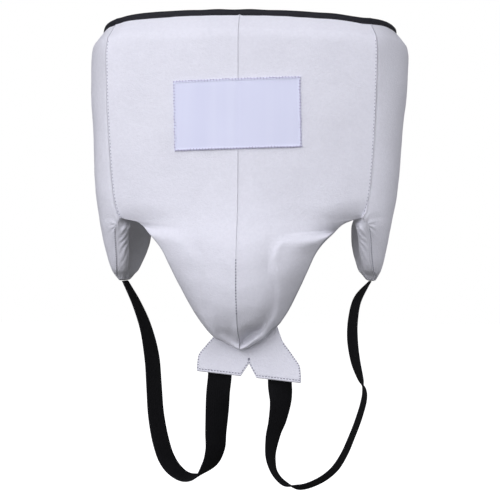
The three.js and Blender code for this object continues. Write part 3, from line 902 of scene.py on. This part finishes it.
def front_inner(u, t, *edge):
    row, _ = front_row(u, *edge)
    outer = front_outer(u, t, *edge)
    low = np.maximum(0, t - SLOPE_STEP)
    high = np.minimum(1, t + SLOPE_STEP)
    run = (high - low) * row["edge_x"]
    slope = (front_depth(row, high) - front_depth(row, low)) / run
    lean = np.maximum(0, slope / np.hypot(1, slope))
    pull = np.minimum(row["wall"] * lean, INNER_PULL_LIMIT * (outer[..., 0] - GAP / 2))
    back = np.sqrt(row["wall"] ** 2 - pull**2)
    return outer + np.stack([-pull, back, np.zeros_like(pull)], axis=-1)


def seam_dip(away):
    """How far leather is pulled in beside a seam."""
    return sum(ridge(away, *dip) for dip in SEAM_DIPS)


def crest_relief(x, drop, rows):
    """Height of the cup's lip with the hollow inside it and the swelling that it stands on, and
    the painted shade in the hollow."""
    away, at = near_line(x, drop, rows)
    shape = CREST_SHAPE
    lip = at["height"] * bell(away, shape["height"])
    hollow = at["valley"] * bell(away + shape["valley_at"], shape["valley"])
    swell = at["swell"] * bell(away - shape["swell_at"], shape["swell"])
    return lip - hollow + swell, HOLLOW_SHADE * hollow


def fold_relief(x, drop, rows):
    """Depth and painted shade of the fold where the belly rolls under above the leg opening, and
    the share of the cup's relief that is left there."""
    away, at = near_line(x, drop, rows)
    roll = np.clip(1 - away / at["roll"], 0, 1) ** 2
    depth = at["depth"] * np.where(away > 0, roll, bell(away, at["rise"]))
    above = smoothstep(0, FOLD_EASE, away) * np.clip(at["depth"] / FOLD_FULL, 0, 1)
    # Painted shade in the crease and on the roll above it
    shade = at["shade"] * np.where(away > 0, roll**2, bell(away, FOLD_SHADE_WIDTH))
    return depth, shade, 1 - above


def flank_fill(row, x, drop, side):
    """How far forward the cup's flank swells between its shoulder and its edge."""
    bend = row["shoulder_x"] / row["edge_x"]
    past = np.clip((x / row["edge_x"] - bend + FLANK_START) / (1 + FLANK_START - bend), 0, 1)
    rows = FLANK[side]
    fuller, edge = (monotone(rows["drop"], rows[name]) for name in ("fuller", "edge"))
    within = np.clip(drop, rows["drop"][0], rows["drop"][-1])
    return 4 * fuller(within) * past * (1 - past) + edge(within) * past ** FLANK_EDGE_POWER[side]


def front_relief(x, drop, row, side):
    """Heights along the skin's normal and towards the front, and the painted shade in seams, folds, the
    cup's hollow and along its edge.
    """
    edge = row["edge_x"] - x
    beside = between(*SIDE_SEAM_DROPS, drop)
    rough = uneven(x, drop, FRONT_UNEVEN, side) * smoothstep(0, SEAM_CALM, x)
    lift = seam_dip(x) + SIDE_SEAM * beside * seam_dip(edge) + rough
    fold, fold_shade, cup = fold_relief(x, drop, FOLDS[side])
    crest, hollow_shade = crest_relief(x, drop, CREST[side])
    forward = cup * (crest + flank_fill(row, x, drop, side)) - fold
    # Painted shade in the centre seam, darker further down, and a faint painted shade in the side seams
    added = sum(shade * smoothstep(start, full, drop) for shade, start, full in CENTRE_SHADE_STEPS)
    centre_shade = (CENTRE_SHADE + added) * bell(x, CENTRE_SHADE_WIDTH)
    side_shade = beside * ridge(edge, *SIDE_SHADE)
    # Painted shade: a thin dark line along the cup's edge, where it turns away from the light
    cup_shade = smoothstep(*CUP_EDGE_DROPS, drop) * ridge(edge, *CUP_EDGE_SHADE)
    shades = [centre_shade, side_shade, fold_shade, hollow_shade, cup_shade]
    return lift, forward, np.maximum.reduce(shades)


def front_panel(side):
    """Makes one front pad and its side seam's stitches, and returns its outer skin."""
    u = np.linspace(0, LAST_ROW, FRONT_ROWS_DOWN)
    t = crowded(FRONT_ACROSS)[None]
    rounding = EDGE_REACH[side], EDGE_ROUND[side]
    row, swell = front_row(u, *rounding)
    outer = front_outer(u, t, *rounding)
    lift, forward, painted_shade = front_relief(outer[..., 0], -outer[..., 2], row, side)
    skin = outer + normals(outer) * lift[..., None]
    skin[..., 1] -= forward
    inner = front_inner(u, np.linspace(0, 1, FRONT_INSIDE)[None], *rounding)
    inner[:, 0, 0] = LINING_GAP / 2
    edge = rim(skin[:, -1], inner[:, -1], swell, row["round"][:, 0], FRONT_RIM)
    grid = np.concatenate([skin, edge, inner[:, ::-1]], axis=1)
    points, faces = lofted(finished(grid, side), FRONT_ACROSS)
    name = f"front_panel_{SIDE_NAMES[side]}"
    piece = new_piece(f"{name}_pad", points, faces, WHITE_LEATHER, name)
    # Painted shade for the leather's colour, on the skin and the half of the rim next to it
    shade = np.zeros(grid.shape[:2])
    shade[:, :FRONT_ACROSS] = painted_shade
    shade[:, FRONT_ACROSS : FRONT_ACROSS + FRONT_RIM // 2] = painted_shade[:, -1:]
    set_attribute(piece, "painted_shade", shade)
    past_edge = skin[..., 0] - skin[:, -1:, 0]
    line, facing = inset_line(skin, past_edge, -SEAM_STITCH_INSET)
    skin_stitches("seam_stitches", side, line, facing, -line[:, 2], SEAM_STITCH_DROPS)
    return skin


def centre_stitches(skin):
    """Stitches that show in the centre seam over the cup."""
    drop = -skin[:, 0, 2]
    kept = (drop > CENTRE_STITCH_DROPS[0]) & (drop < CENTRE_STITCH_DROPS[1])
    line = skin[kept, 0] * [0, 1, 1] + [0, -CENTRE_STITCH_OUT, 0]
    facing = normals(skin)[kept, 2] * [0, 1, 1]
    stitches("centre_stitches", *spaced("centre_stitches", line, facing))


# Wings: closed pads from the side seam to the rear edge, ending in the hanging lobes


def seam_faces(u):
    """Front edge of the wing beside the seam at row positions u: place, lean and drop."""
    outer = front_outer(u, np.array([[1.0]]))[:, 0]
    inner = front_inner(u, np.array([[1.0]]))[:, 0]
    lean = unit((inner - outer)[:, :2])
    clear = GAP * np.stack([lean[:, 1], -lean[:, 0]], axis=-1)
    return outer[:, :2] + clear, lean, -outer[:, 2]


def wing_levels():
    """Drop, front point, lean of the front face and share of the seam's hold at each level."""
    place, lean, seam_drop = seam_faces(np.linspace(0, SEAM_END_ROW, SEAM_POINTS))
    seam_end = seam_drop[-1]
    drop = np.linspace(seam_drop[0], WING["drop"][-1] - TIP_DEPTH, WING_ROWS_DOWN)
    on_lobe = stacked(lobe_edge_at(np.clip(drop, seam_end, None)), "x", "y")
    start = np.where((drop > seam_end)[:, None], on_lobe, interpolated(drop, seam_drop, place))
    hold = 1 - smoothstep(seam_end, seam_end + LOBE_BLEND, drop)
    leaning = interpolated(drop, seam_drop, lean) * hold[:, None]
    return drop, start, unit(leaning + np.array(GUSSET["run"]) * (1 - hold)[:, None]), hold


def eased(drop, start):
    """The wing's front points with the corner of the notch smoothed out."""
    weights = bell(drop[:, None] - drop[None], NOTCH_EASE)
    smoothed = (weights @ start) / weights.sum(axis=1, keepdims=True)
    return start + (smoothed - start) * between(*NOTCH_DROPS, drop)[:, None]


def wing_skin(s, levels):
    """Outer points of the wing, the way from them to the inner skin, the way of its plan and
    its thickness."""
    drop, start, lean, hold = levels
    row = wing_at(drop)
    rear = stacked(row, "rear_x", "rear_y")
    smooth_start = eased(drop, start)
    control = 2 * stacked(row, "side_x", "side_y") - (smooth_start + rear) / 2
    s = s[None, :, None]
    front = start[:, None] + (smooth_start - start)[:, None] * smoothstep(0, NOTCH_FADE, s)
    plan = (1 - s) ** 2 * front + 2 * s * (1 - s) * control[:, None] + s**2 * rear[:, None]
    run = unit(2 * (1 - s) * (control - start)[:, None] + 2 * s * (rear - control)[:, None])
    inward = np.stack([-run[..., 1], run[..., 0]], axis=-1)
    held = 1 - smoothstep(0, SEAM_HOLD, s)
    inward = unit(inward * (1 - held) + lean[:, None] * held)
    narrowing = (1 - GUSSET["width"]) * held * (1 - hold)[:, None, None]
    wall = row["wall"][:, None, None] * (1 - narrowing)
    level = np.broadcast_to(-drop[:, None, None], plan.shape[:2] + (1,))
    flat = np.zeros_like(level)
    outer = np.concatenate([plan, level], axis=-1)
    through = np.concatenate([inward * wall, flat], axis=-1)
    return outer, through, np.concatenate([run, flat], axis=-1), row["wall"]


def pucker(away, drop):
    """Small creases that radiate from the corner where the side seam ends."""
    below = drop - PUCKER["drop"]
    reach = np.hypot(away, below)
    fan = np.cos(PUCKER["rays"] * np.arctan2(below, np.maximum(away, PUCKER["nearest"])))
    near = bell(reach - PUCKER["reach"], PUCKER["reach"])
    return PUCKER["height"] * fan * near * smoothstep(*PUCKER["start"], away)


def wing_relief(away, drop, hold, s, side):
    """Height of the wing's outer skin above its plain form, and the painted shade in its seams and the
    painted shadow under the notch.
    """
    lobe = 1 - hold
    seam = hold * (SIDE_SEAM * seam_dip(away) + ridge(away, *WING_ROLL))
    piping = lobe * (ridge(away, *LOBE_PIPING) + ridge(away, *LOBE_GROOVE))
    gathers = GATHERS["height"] * np.cos(2 * math.pi * GATHERS["count"] * s)
    gathers = gathers * smoothstep(*GATHERS["drops"], drop)
    rough = uneven(away, drop, WING_UNEVEN, side) * smoothstep(0, SEAM_CALM, away)
    lift = seam + piping + pucker(away, drop) + gathers + rough
    # Painted shadow under the belly's edge at the top of the lobe
    notch_shade = ridge(np.hypot(away, drop - NOTCH_DROP), *NOTCH_SHADE)
    # Painted shade in the side seam and in the lobe's seam groove
    shades = [hold * ridge(away, *SIDE_SHADE), lobe * ridge(away, *LOBE_SHADE), notch_shade]
    return lift, np.maximum.reduce(shades)


def gusset_pleats(drop, share, hold):
    """Height of the slanting pleats in the lobe's front face."""
    turns = drop / PLEATS["pitch"] + PLEATS["slant"] * share + uneven(drop, 0, PLEAT_UNEVEN)
    fade = (1 - hold) * (1 - PLEATS["fade"] * smoothstep(*PLEATS["drops"], drop))
    return PLEATS["height"] * np.sin(2 * math.pi * turns) * np.sin(np.pi * share) * fade


def rounded_tip(grid):
    """Rows of a pad, with more that close its lower end in a rounded way."""
    last = grid[-1]
    middle = last.mean(axis=0)
    angles = np.linspace(0, TIP_TURN, TIP_ROWS + 1)[1:, None, None]
    down = np.array([0, 0, TIP_DEPTH]) * np.sin(angles)
    return np.concatenate([grid, middle + (last - middle) * np.cos(angles) - down])


def side_wing(side):
    """Makes one wing and the stitches along its lobe."""
    levels = wing_levels()
    drop, _, lean, hold = levels
    down, held = drop[:, None], hold[:, None]
    s = crowded(WING_ACROSS)
    outer, _, run, wall = wing_skin(s, levels)
    inside, through, _, _ = wing_skin(np.linspace(0, 1, WING_INSIDE), levels)
    inner = inside + through
    away = np.cumsum(np.linalg.norm(np.diff(outer, axis=1, prepend=outer[:, :1]), axis=-1), axis=1)
    lift, painted_shade = wing_relief(away, down, held, s[None], side)
    skin = outer + normals(outer) * lift[..., None]
    rear = rim(skin[:, -1], inner[:, -1], run[:, -1], REAR_ROUND * wall, WING_RIM)
    front_way = np.stack([-lean[:, 1], lean[:, 0], np.zeros_like(drop)], axis=-1)
    front = rim(skin[:, 0], inner[:, 0], front_way, GUSSET["round"] * wall * (1 - hold), WING_RIM)
    share = np.linspace(0, 1, WING_RIM + 2)[None, 1:-1]
    front = front + front_way[:, None] * gusset_pleats(down, share, held)[..., None]
    half = WING_RIM // 2
    parts = [front[:, :half][:, ::-1], skin, rear, inner[:, ::-1], front[:, half:][:, ::-1]]
    grid = rounded_tip(np.concatenate(parts, axis=1))
    points, faces = lofted(finished(grid, side), half + WING_ACROSS + half)
    name = f"side_wing_{SIDE_NAMES[side]}"
    piece = new_piece(f"{name}_pad", points, faces, WHITE_LEATHER, name)
    # Painted shade for the leather's colour, on the outer skin of the wing
    shade = np.zeros(grid.shape[:2])
    shade[: len(drop), half : half + WING_ACROSS] = painted_shade
    set_attribute(piece, "painted_shade", shade)
    line, facing = inset_line(skin, away, LOBE_STITCH_INSET)
    skin_stitches("lobe_stitches", side, line, facing, drop, LOBE_STITCH_DROPS)


# Binding: a tape folded over the top edge from one rear end to the other


def top_edge():
    """Outer and inner line of the top edge, from the left rear end to the right one."""
    start = np.array([0.0])
    share = np.linspace(0, 1, TOP_POINTS)
    place, lean, drop = seam_faces(start)
    wing_outer, through, _, _ = wing_skin(share, (drop, place, lean, np.array([1.0])))
    outer = np.concatenate([front_outer(start, share[None])[0], wing_outer[0, 1:]])
    inner = np.concatenate([front_inner(start, share[None])[0], (wing_outer + through)[0, 1:]])
    halves = [[rounded_corner(line, side) for line in (outer, inner)] for side in (LEFT, RIGHT)]
    return [np.concatenate([handed(left[:0:-1], LEFT), right]) for left, right in zip(*halves)]


def fold_section(half, leg):
    """Section of one face of the tape: across and up, from the foot of one leg to the other."""
    angle = np.linspace(math.pi, 0, BINDING_ACROSS)
    arc = half * np.stack([np.cos(angle), np.sin(angle)], axis=-1)
    feet = np.array([[-half, -leg], [half, -leg]])
    return np.concatenate([feet[:1], feet[:1] / [1, 2], arc, feet[1:] / [1, 2], feet[1:]])


def binding():
    outer, inner = top_edge()
    middle = (outer + inner) / 2
    across = unit(inner - outer)
    half = np.linalg.norm(inner - outer, axis=-1).mean() / 2 + BINDING["clear"]
    top = half + BINDING["thickness"]
    leg = BINDING["height"] - top
    skin = fold_section(top, leg)
    section = np.concatenate([skin, fold_section(half, leg)[::-1]])
    grid = middle[:, None] + across[:, None] * section[None, :, :1]
    run, width = lengths(middle), lengths(skin)
    level = middle[:, 2] - middle[:, 2].max() + BINDING["top"] + uneven(run, 0, BINDING_UNEVEN)
    grid[..., 2] = section[None, :, 1] - top + level[:, None]
    points, faces = lofted(slanted(grid), len(skin))
    piece = new_piece("top_binding_tape", points, faces, BINDING_TAPE, "top_binding")
    set_attribute(piece, "along", np.repeat(run, len(section)))
    set_attribute(piece, "across", np.tile(np.concatenate([width, width[::-1]]), len(run)))
    line = middle - across * (top + BINDING["clear"])
    line[:, 2] = BINDING["stitch_up"] - BINDING["height"] + level
    stitches("binding_stitches", *spaced("binding_stitches", slanted(line), -across))


# Front patch: a bare satin panel with an overcast edge


def belly_depth(x, drop):
    """Depth of the belly's plain skin at places seen from the front."""
    row = front_at(np.interp(drop, BELLY_DROPS, BELLY_ROWS))
    return front_depth(row, np.abs(x) / row["edge_x"])


def patch_places(p, q, lift):
    """Places on the belly from distances across and down the patch, at a height above it."""
    turn = math.radians(PATCH["turn"])
    x = PATCH["x"] + p * math.cos(turn) + q * math.sin(turn)
    drop = PATCH["drop"] + q * math.cos(turn) - p * math.sin(turn)
    return np.stack([x, belly_depth(x, drop) - lift, -drop], axis=-1)


def front_patch():
    half_wide, half_high = PATCH["width"] / 2, PATCH["height"] / 2
    p = half_wide * (2 * crowded(PATCH_ACROSS) - 1)[None]
    q = half_high * (2 * crowded(PATCH_DOWN) - 1)[:, None]
    inset = np.minimum(half_wide - np.abs(p), half_high - np.abs(q))
    bead = ridge(inset, *PATCH_BEAD) + ridge(inset, *PATCH_EDGE)
    over_seam = ridge(np.abs(PATCH["x"] + p), *PATCH_CENTRE)
    rough = (uneven(p, q, PATCH_UNEVEN) + over_seam) * smoothstep(0, PATCH_CALM, inset)
    top = patch_places(p, q, GAP + PATCH["thickness"] + bead + rough)
    below = patch_places(p, q, np.full(inset.shape, GAP))
    points, faces = lofted(np.concatenate([top, below[:, ::-1]], axis=1), PATCH_ACROSS)
    piece = new_piece("front_patch_cloth", points, faces, PATCH_SATIN, "front_patch")
    patch_edge(half_wide - PATCH_STITCH["inset"], half_high - PATCH_STITCH["inset"])


def patch_edge(half_wide, half_high):
    """Overcast thread round the patch: a cord along its edge and short stitches that cross it."""
    pitch = PITCHES["patch_stitches"]
    wide = np.arange(-half_wide, half_wide, pitch)
    high = np.arange(-half_high + pitch, half_high, pitch)
    sides = (
        (wide, np.full_like(wide, -half_high), (0, 1)),
        (wide, np.full_like(wide, half_high), (0, 1)),
        (np.full_like(high, -half_wide), high, (1, 0)),
        (np.full_like(high, half_wide), high, (1, 0)),
    )
    p, q = (np.concatenate([side[i] for side in sides]) for i in (0, 1))
    way = np.concatenate([np.tile(side[2], (len(side[0]), 1)) for side in sides])
    jitter = [uneven(p, q, STITCH_UNEVEN, i) * way[:, i] for i in (0, 1)]
    p, q = p + jitter[0], q + jitter[1]
    patch_thread("patch_stitches", p, q, way + PATCH_STITCH["lean"], PATCH_STITCH["lift"])
    p, q = p + pitch / 2 * way[:, 1], q + pitch / 2 * way[:, 0]
    patch_thread("patch_cord", p, q, way[:, ::-1], PATCH_STITCH["cord_lift"])


def patch_thread(kind, p, q, way, above):
    lift = GAP + PATCH["thickness"] + above
    step = PATCH_STITCH["step"] * way
    place = patch_places(p, q, lift)
    run = unit(patch_places(p + step[:, 0], q + step[:, 1], lift) - place)
    stitches(kind, place, run, square_to(run, np.array([0.0, -1.0, 0.0])))


# Tail flap: a doubled leather sheet with a notched, stitched edge


def flap_places(across, along, lift):
    """Places on the flap, lifted to its front by lift."""
    row = tail_at(along)
    ahead = tail_at(along + FLAP_STEP)
    run_y, run_z = ahead["y"] - row["y"], row["drop"] - ahead["drop"]
    span = np.hypot(run_y, run_z)
    x = across * row["half_width"]
    wave = uneven(x, row["drop"], FLAP_UNEVEN)
    y = row["y"] - FLAP["lean"] * along**2 + wave + lift * run_z / span
    near_root = np.clip(1 - along / FLAP_CORNER["along"], 0, 1)
    corner = FLAP_CORNER["height"] * smoothstep(*FLAP_CORNER["across"], across) * near_root
    z = corner - row["drop"] - TAIL["slant"] * x - lift * run_y / span
    return np.stack([TAIL["x"] + x, y, z], axis=-1)


def flap_reach(across):
    return np.interp(np.abs(across), TAIL_REACH["across"], TAIL_REACH["reach"])


def tail_flap():
    across = np.linspace(-1, 1, TAIL_ACROSS)[:, None]
    along = flap_reach(across) * np.linspace(0, 1, TAIL_DOWN)[None]
    side_inset = (1 - np.abs(across)) * tail_at(along)["half_width"]
    inset = (flap_reach(across) - along) * FLAP["run"]
    outside = 1 - np.clip(side_inset / FLAP["edge_round"], 0, 1)
    round_off = np.sqrt(np.clip(1 - outside**2, FLAP["thinnest"], 1))
    thickness = TAIL["thickness"] / 2 * round_off + ridge(inset, *FLAP_DIP)
    front = flap_places(across, along, thickness)
    back = flap_places(across, along, -thickness)
    column, ends = across[:, 0], along[:, -1]
    down = unit(flap_places(column, ends, 0) - flap_places(column, ends - FLAP_END_STEP, 0))
    edge = rim(front[:, -1], back[:, -1], down, FLAP["rim"] * round_off[:, -1], TAIL_RIM)
    grid = np.concatenate([front, edge, back[:, ::-1]], axis=1)
    points, faces = lofted(grid, TAIL_DOWN)
    piece = new_piece("tail_flap_leather", points, faces, FLAP_LEATHER, "tail_flap")
    # Painted shade along the flap's stitched lower edge and along its side edges
    shade = np.zeros(grid.shape[:2])
    shade[:, :TAIL_DOWN] = np.maximum(ridge(inset, *FLAP_SHADE), ridge(side_inset, *FLAP_SIDE_SHADE))
    set_attribute(piece, "painted_shade", shade)
    flap_stitches()


def flap_row(kind, across, along):
    """Places, runs and facings of stitches along a line on the flap's front."""
    line = flap_places(across, along, TAIL["thickness"] / 2)
    return spaced(kind, line, np.tile((0.0, -1.0, 0.1), (len(line), 1)))


def flap_stitches():
    """The seam along the flap's lower edge, whipped side edges and a tack above the notch."""
    inset = FLAP_STITCH["inset"] / FLAP["run"]
    ends = 1 - FLAP_STITCH["ends"] / tail_at(np.array([1.0]))["half_width"][0]
    lower = np.linspace(-ends, ends, SEAM_POINTS)
    stitches("flap_stitches", *flap_row("flap_stitches", lower, flap_reach(lower) - inset))
    edge = np.linspace(FLAP_STITCH["edge_start"], 1 - inset, FLAP_EDGE_POINTS)
    out = 1 - FLAP_STITCH["edge_inset"] / tail_at(edge)["half_width"]
    rows = [flap_row("flap_edge_stitches", side * out, edge) for side in (LEFT, RIGHT)]
    place, way, face = (np.concatenate(parts) for parts in zip(*rows))
    stitches("flap_edge_stitches", place, np.cross(way, face), face)
    place = flap_places(np.zeros_like(FLAP_TACK), FLAP_TACK, TAIL["thickness"] / 2)
    way = unit(np.tile((1.0, 0.0, 0.1), (len(place), 1)))
    stitches("flap_tack", place, way, np.tile((0.0, -1.0, 0.0), (len(place), 1)))


# Leg straps: ribbed elastic webbing along the routes of the solids


def strap_section():
    """Outline of the webbing: across and through, with ribs on both faces."""
    share = np.linspace(-1, 1, STRAP_RIBS * RIB_POINTS + 1)
    rib = STRAP_RIB * np.cos(math.pi * STRAP_RIBS * (share + 1))
    outside = np.clip((np.abs(share) - (1 - STRAP_EDGE)) / STRAP_EDGE, 0, 1)
    round_off = np.sqrt(np.clip(1 - outside**2, STRAP_THINNEST, 1))
    half = (STRAP["thickness"] / 2 - STRAP_RIB) * round_off + rib
    face = np.stack([share * STRAP["width"] / 2, half], axis=-1)
    return np.concatenate([face, face[::-1] * [1, -1]]), len(face)


def leg_strap(side):
    rows = STRAP_ROWS[side]
    route = np.stack([rows["x"], rows["y"], -rows["drop"]], axis=-1)
    fine = np.linspace(0, 1, FINE_POINTS)
    travelled = lengths(smooth_line(route, fine))
    share = np.interp(np.linspace(0, travelled[-1], STRAP_STEPS), travelled, fine)
    centre = smooth_line(route, share)
    run = unit(np.gradient(centre, axis=0))
    level = unit(np.cross(run, (0, 1, 0)))
    depth = unit(np.cross(level, run))
    turn = np.radians(monotone(np.linspace(0, 1, len(route)), rows["face"])(share))[:, None]
    across = level * np.cos(turn) + depth * np.sin(turn)
    through = np.cross(run, across)
    section, split = strap_section()
    grid = centre[:, None] + across[:, None] * section[:, :1] + through[:, None] * section[:, 1:]
    to_lobe = -(WING["drop"][-1] + GAP) - grid[-1, :, 2:]
    grid[-1] += run[-1] * to_lobe / run[-1, 2]
    points, faces = lofted(grid, split)
    name = f"leg_strap_{SIDE_NAMES[side]}"
    piece = new_piece(f"{name}_webbing", points, faces, BLACK_WEBBING, name)
    set_attribute(piece, "along", np.repeat(lengths(centre), len(section)))
    set_attribute(piece, "across", np.tile(section[:, 0], len(centre)))


for side in (RIGHT, LEFT):
    front_skin = front_panel(side)
    side_wing(side)
    leg_strap(side)
centre_stitches(front_skin)
binding()
front_patch()
tail_flap()


# Stage: camera, lights, floor and backdrop


def area_light(name, azimuth, elevation, energy):
    """A soft round light that faces the middle of the guard."""
    lamp = bpy.data.lights.new(name, "AREA")
    lamp.shape = "DISK"
    lamp.size = LIGHT_SIZE
    lamp.energy = energy
    lamp.color = LIGHT_COLOR
    az, el = math.radians(azimuth), math.radians(elevation)
    way = np.array([math.cos(el) * math.sin(az), -math.cos(el) * math.cos(az), math.sin(el)])
    light = bpy.data.objects.new(name, lamp)
    light.location = np.array(MIDDLE) + LIGHT_DISTANCE * way
    light.rotation_euler = (math.pi / 2 - el, 0, az)
    bpy.context.scene.collection.objects.link(light)


for name, placing in LIGHTS.items():
    area_light(name, *placing)

camera = bpy.data.objects.new("camera", bpy.data.cameras.new("camera"))
turn = math.radians(CAMERA_AZIMUTH)
camera.location = (CAMERA_DISTANCE * math.sin(turn), -CAMERA_DISTANCE * math.cos(turn), CAMERA_HEIGHT)
camera.rotation_euler = (math.pi / 2, 0, turn)
camera.data.sensor_width = SENSOR_MM
camera.data.lens = SENSOR_MM * FOCAL_UNITS / PICTURE_UNITS
camera.data.shift_x = AXIS_UNITS_LEFT / PICTURE_UNITS
bpy.context.scene.collection.objects.link(camera)
bpy.context.scene.camera = camera

# The backdrop is white to the camera and dim as a source of light
world = bpy.data.worlds.new("studio")
world.use_nodes = True
bpy.context.scene.world = world
nodes, links = world.node_tree.nodes, world.node_tree.links
nodes["Background"].inputs["Color"].default_value = (AMBIENT, AMBIENT, AMBIENT, 1)
white = nodes.new("ShaderNodeBackground")
white.inputs["Color"].default_value = (1, 1, 1, 1)
seen = nodes.new("ShaderNodeLightPath")
either = nodes.new("ShaderNodeMixShader")
links.new(seen.outputs["Is Camera Ray"], either.inputs[0])
links.new(nodes["Background"].outputs[0], either.inputs[1])
links.new(white.outputs[0], either.inputs[2])
links.new(either.outputs[0], nodes["World Output"].inputs["Surface"])

bpy.context.scene.view_settings.view_transform = "Standard"

corners = [(-1, -1), (1, -1), (1, 1), (-1, 1)]
floor_points = [(x * FLOOR_REACH * MM, y * FLOOR_REACH * MM, -FLOOR_DROP * MM) for x, y in corners]
floor_mesh = bpy.data.meshes.new("floor")
floor_mesh.from_pydata(floor_points, [], [(0, 1, 2, 3)])
floor = bpy.data.objects.new("floor", floor_mesh)
floor_shader = Shader("pale_floor")
floor_mesh.materials.append(
    floor_shader.finish(Base_Color=(0.9, 0.9, 0.9, 1), Emission_Color=(1, 1, 1, 1), Emission_Strength=1.0)
)
floor.visible_diffuse = False
floor.visible_glossy = False
bpy.context.scene.collection.objects.link(floor)
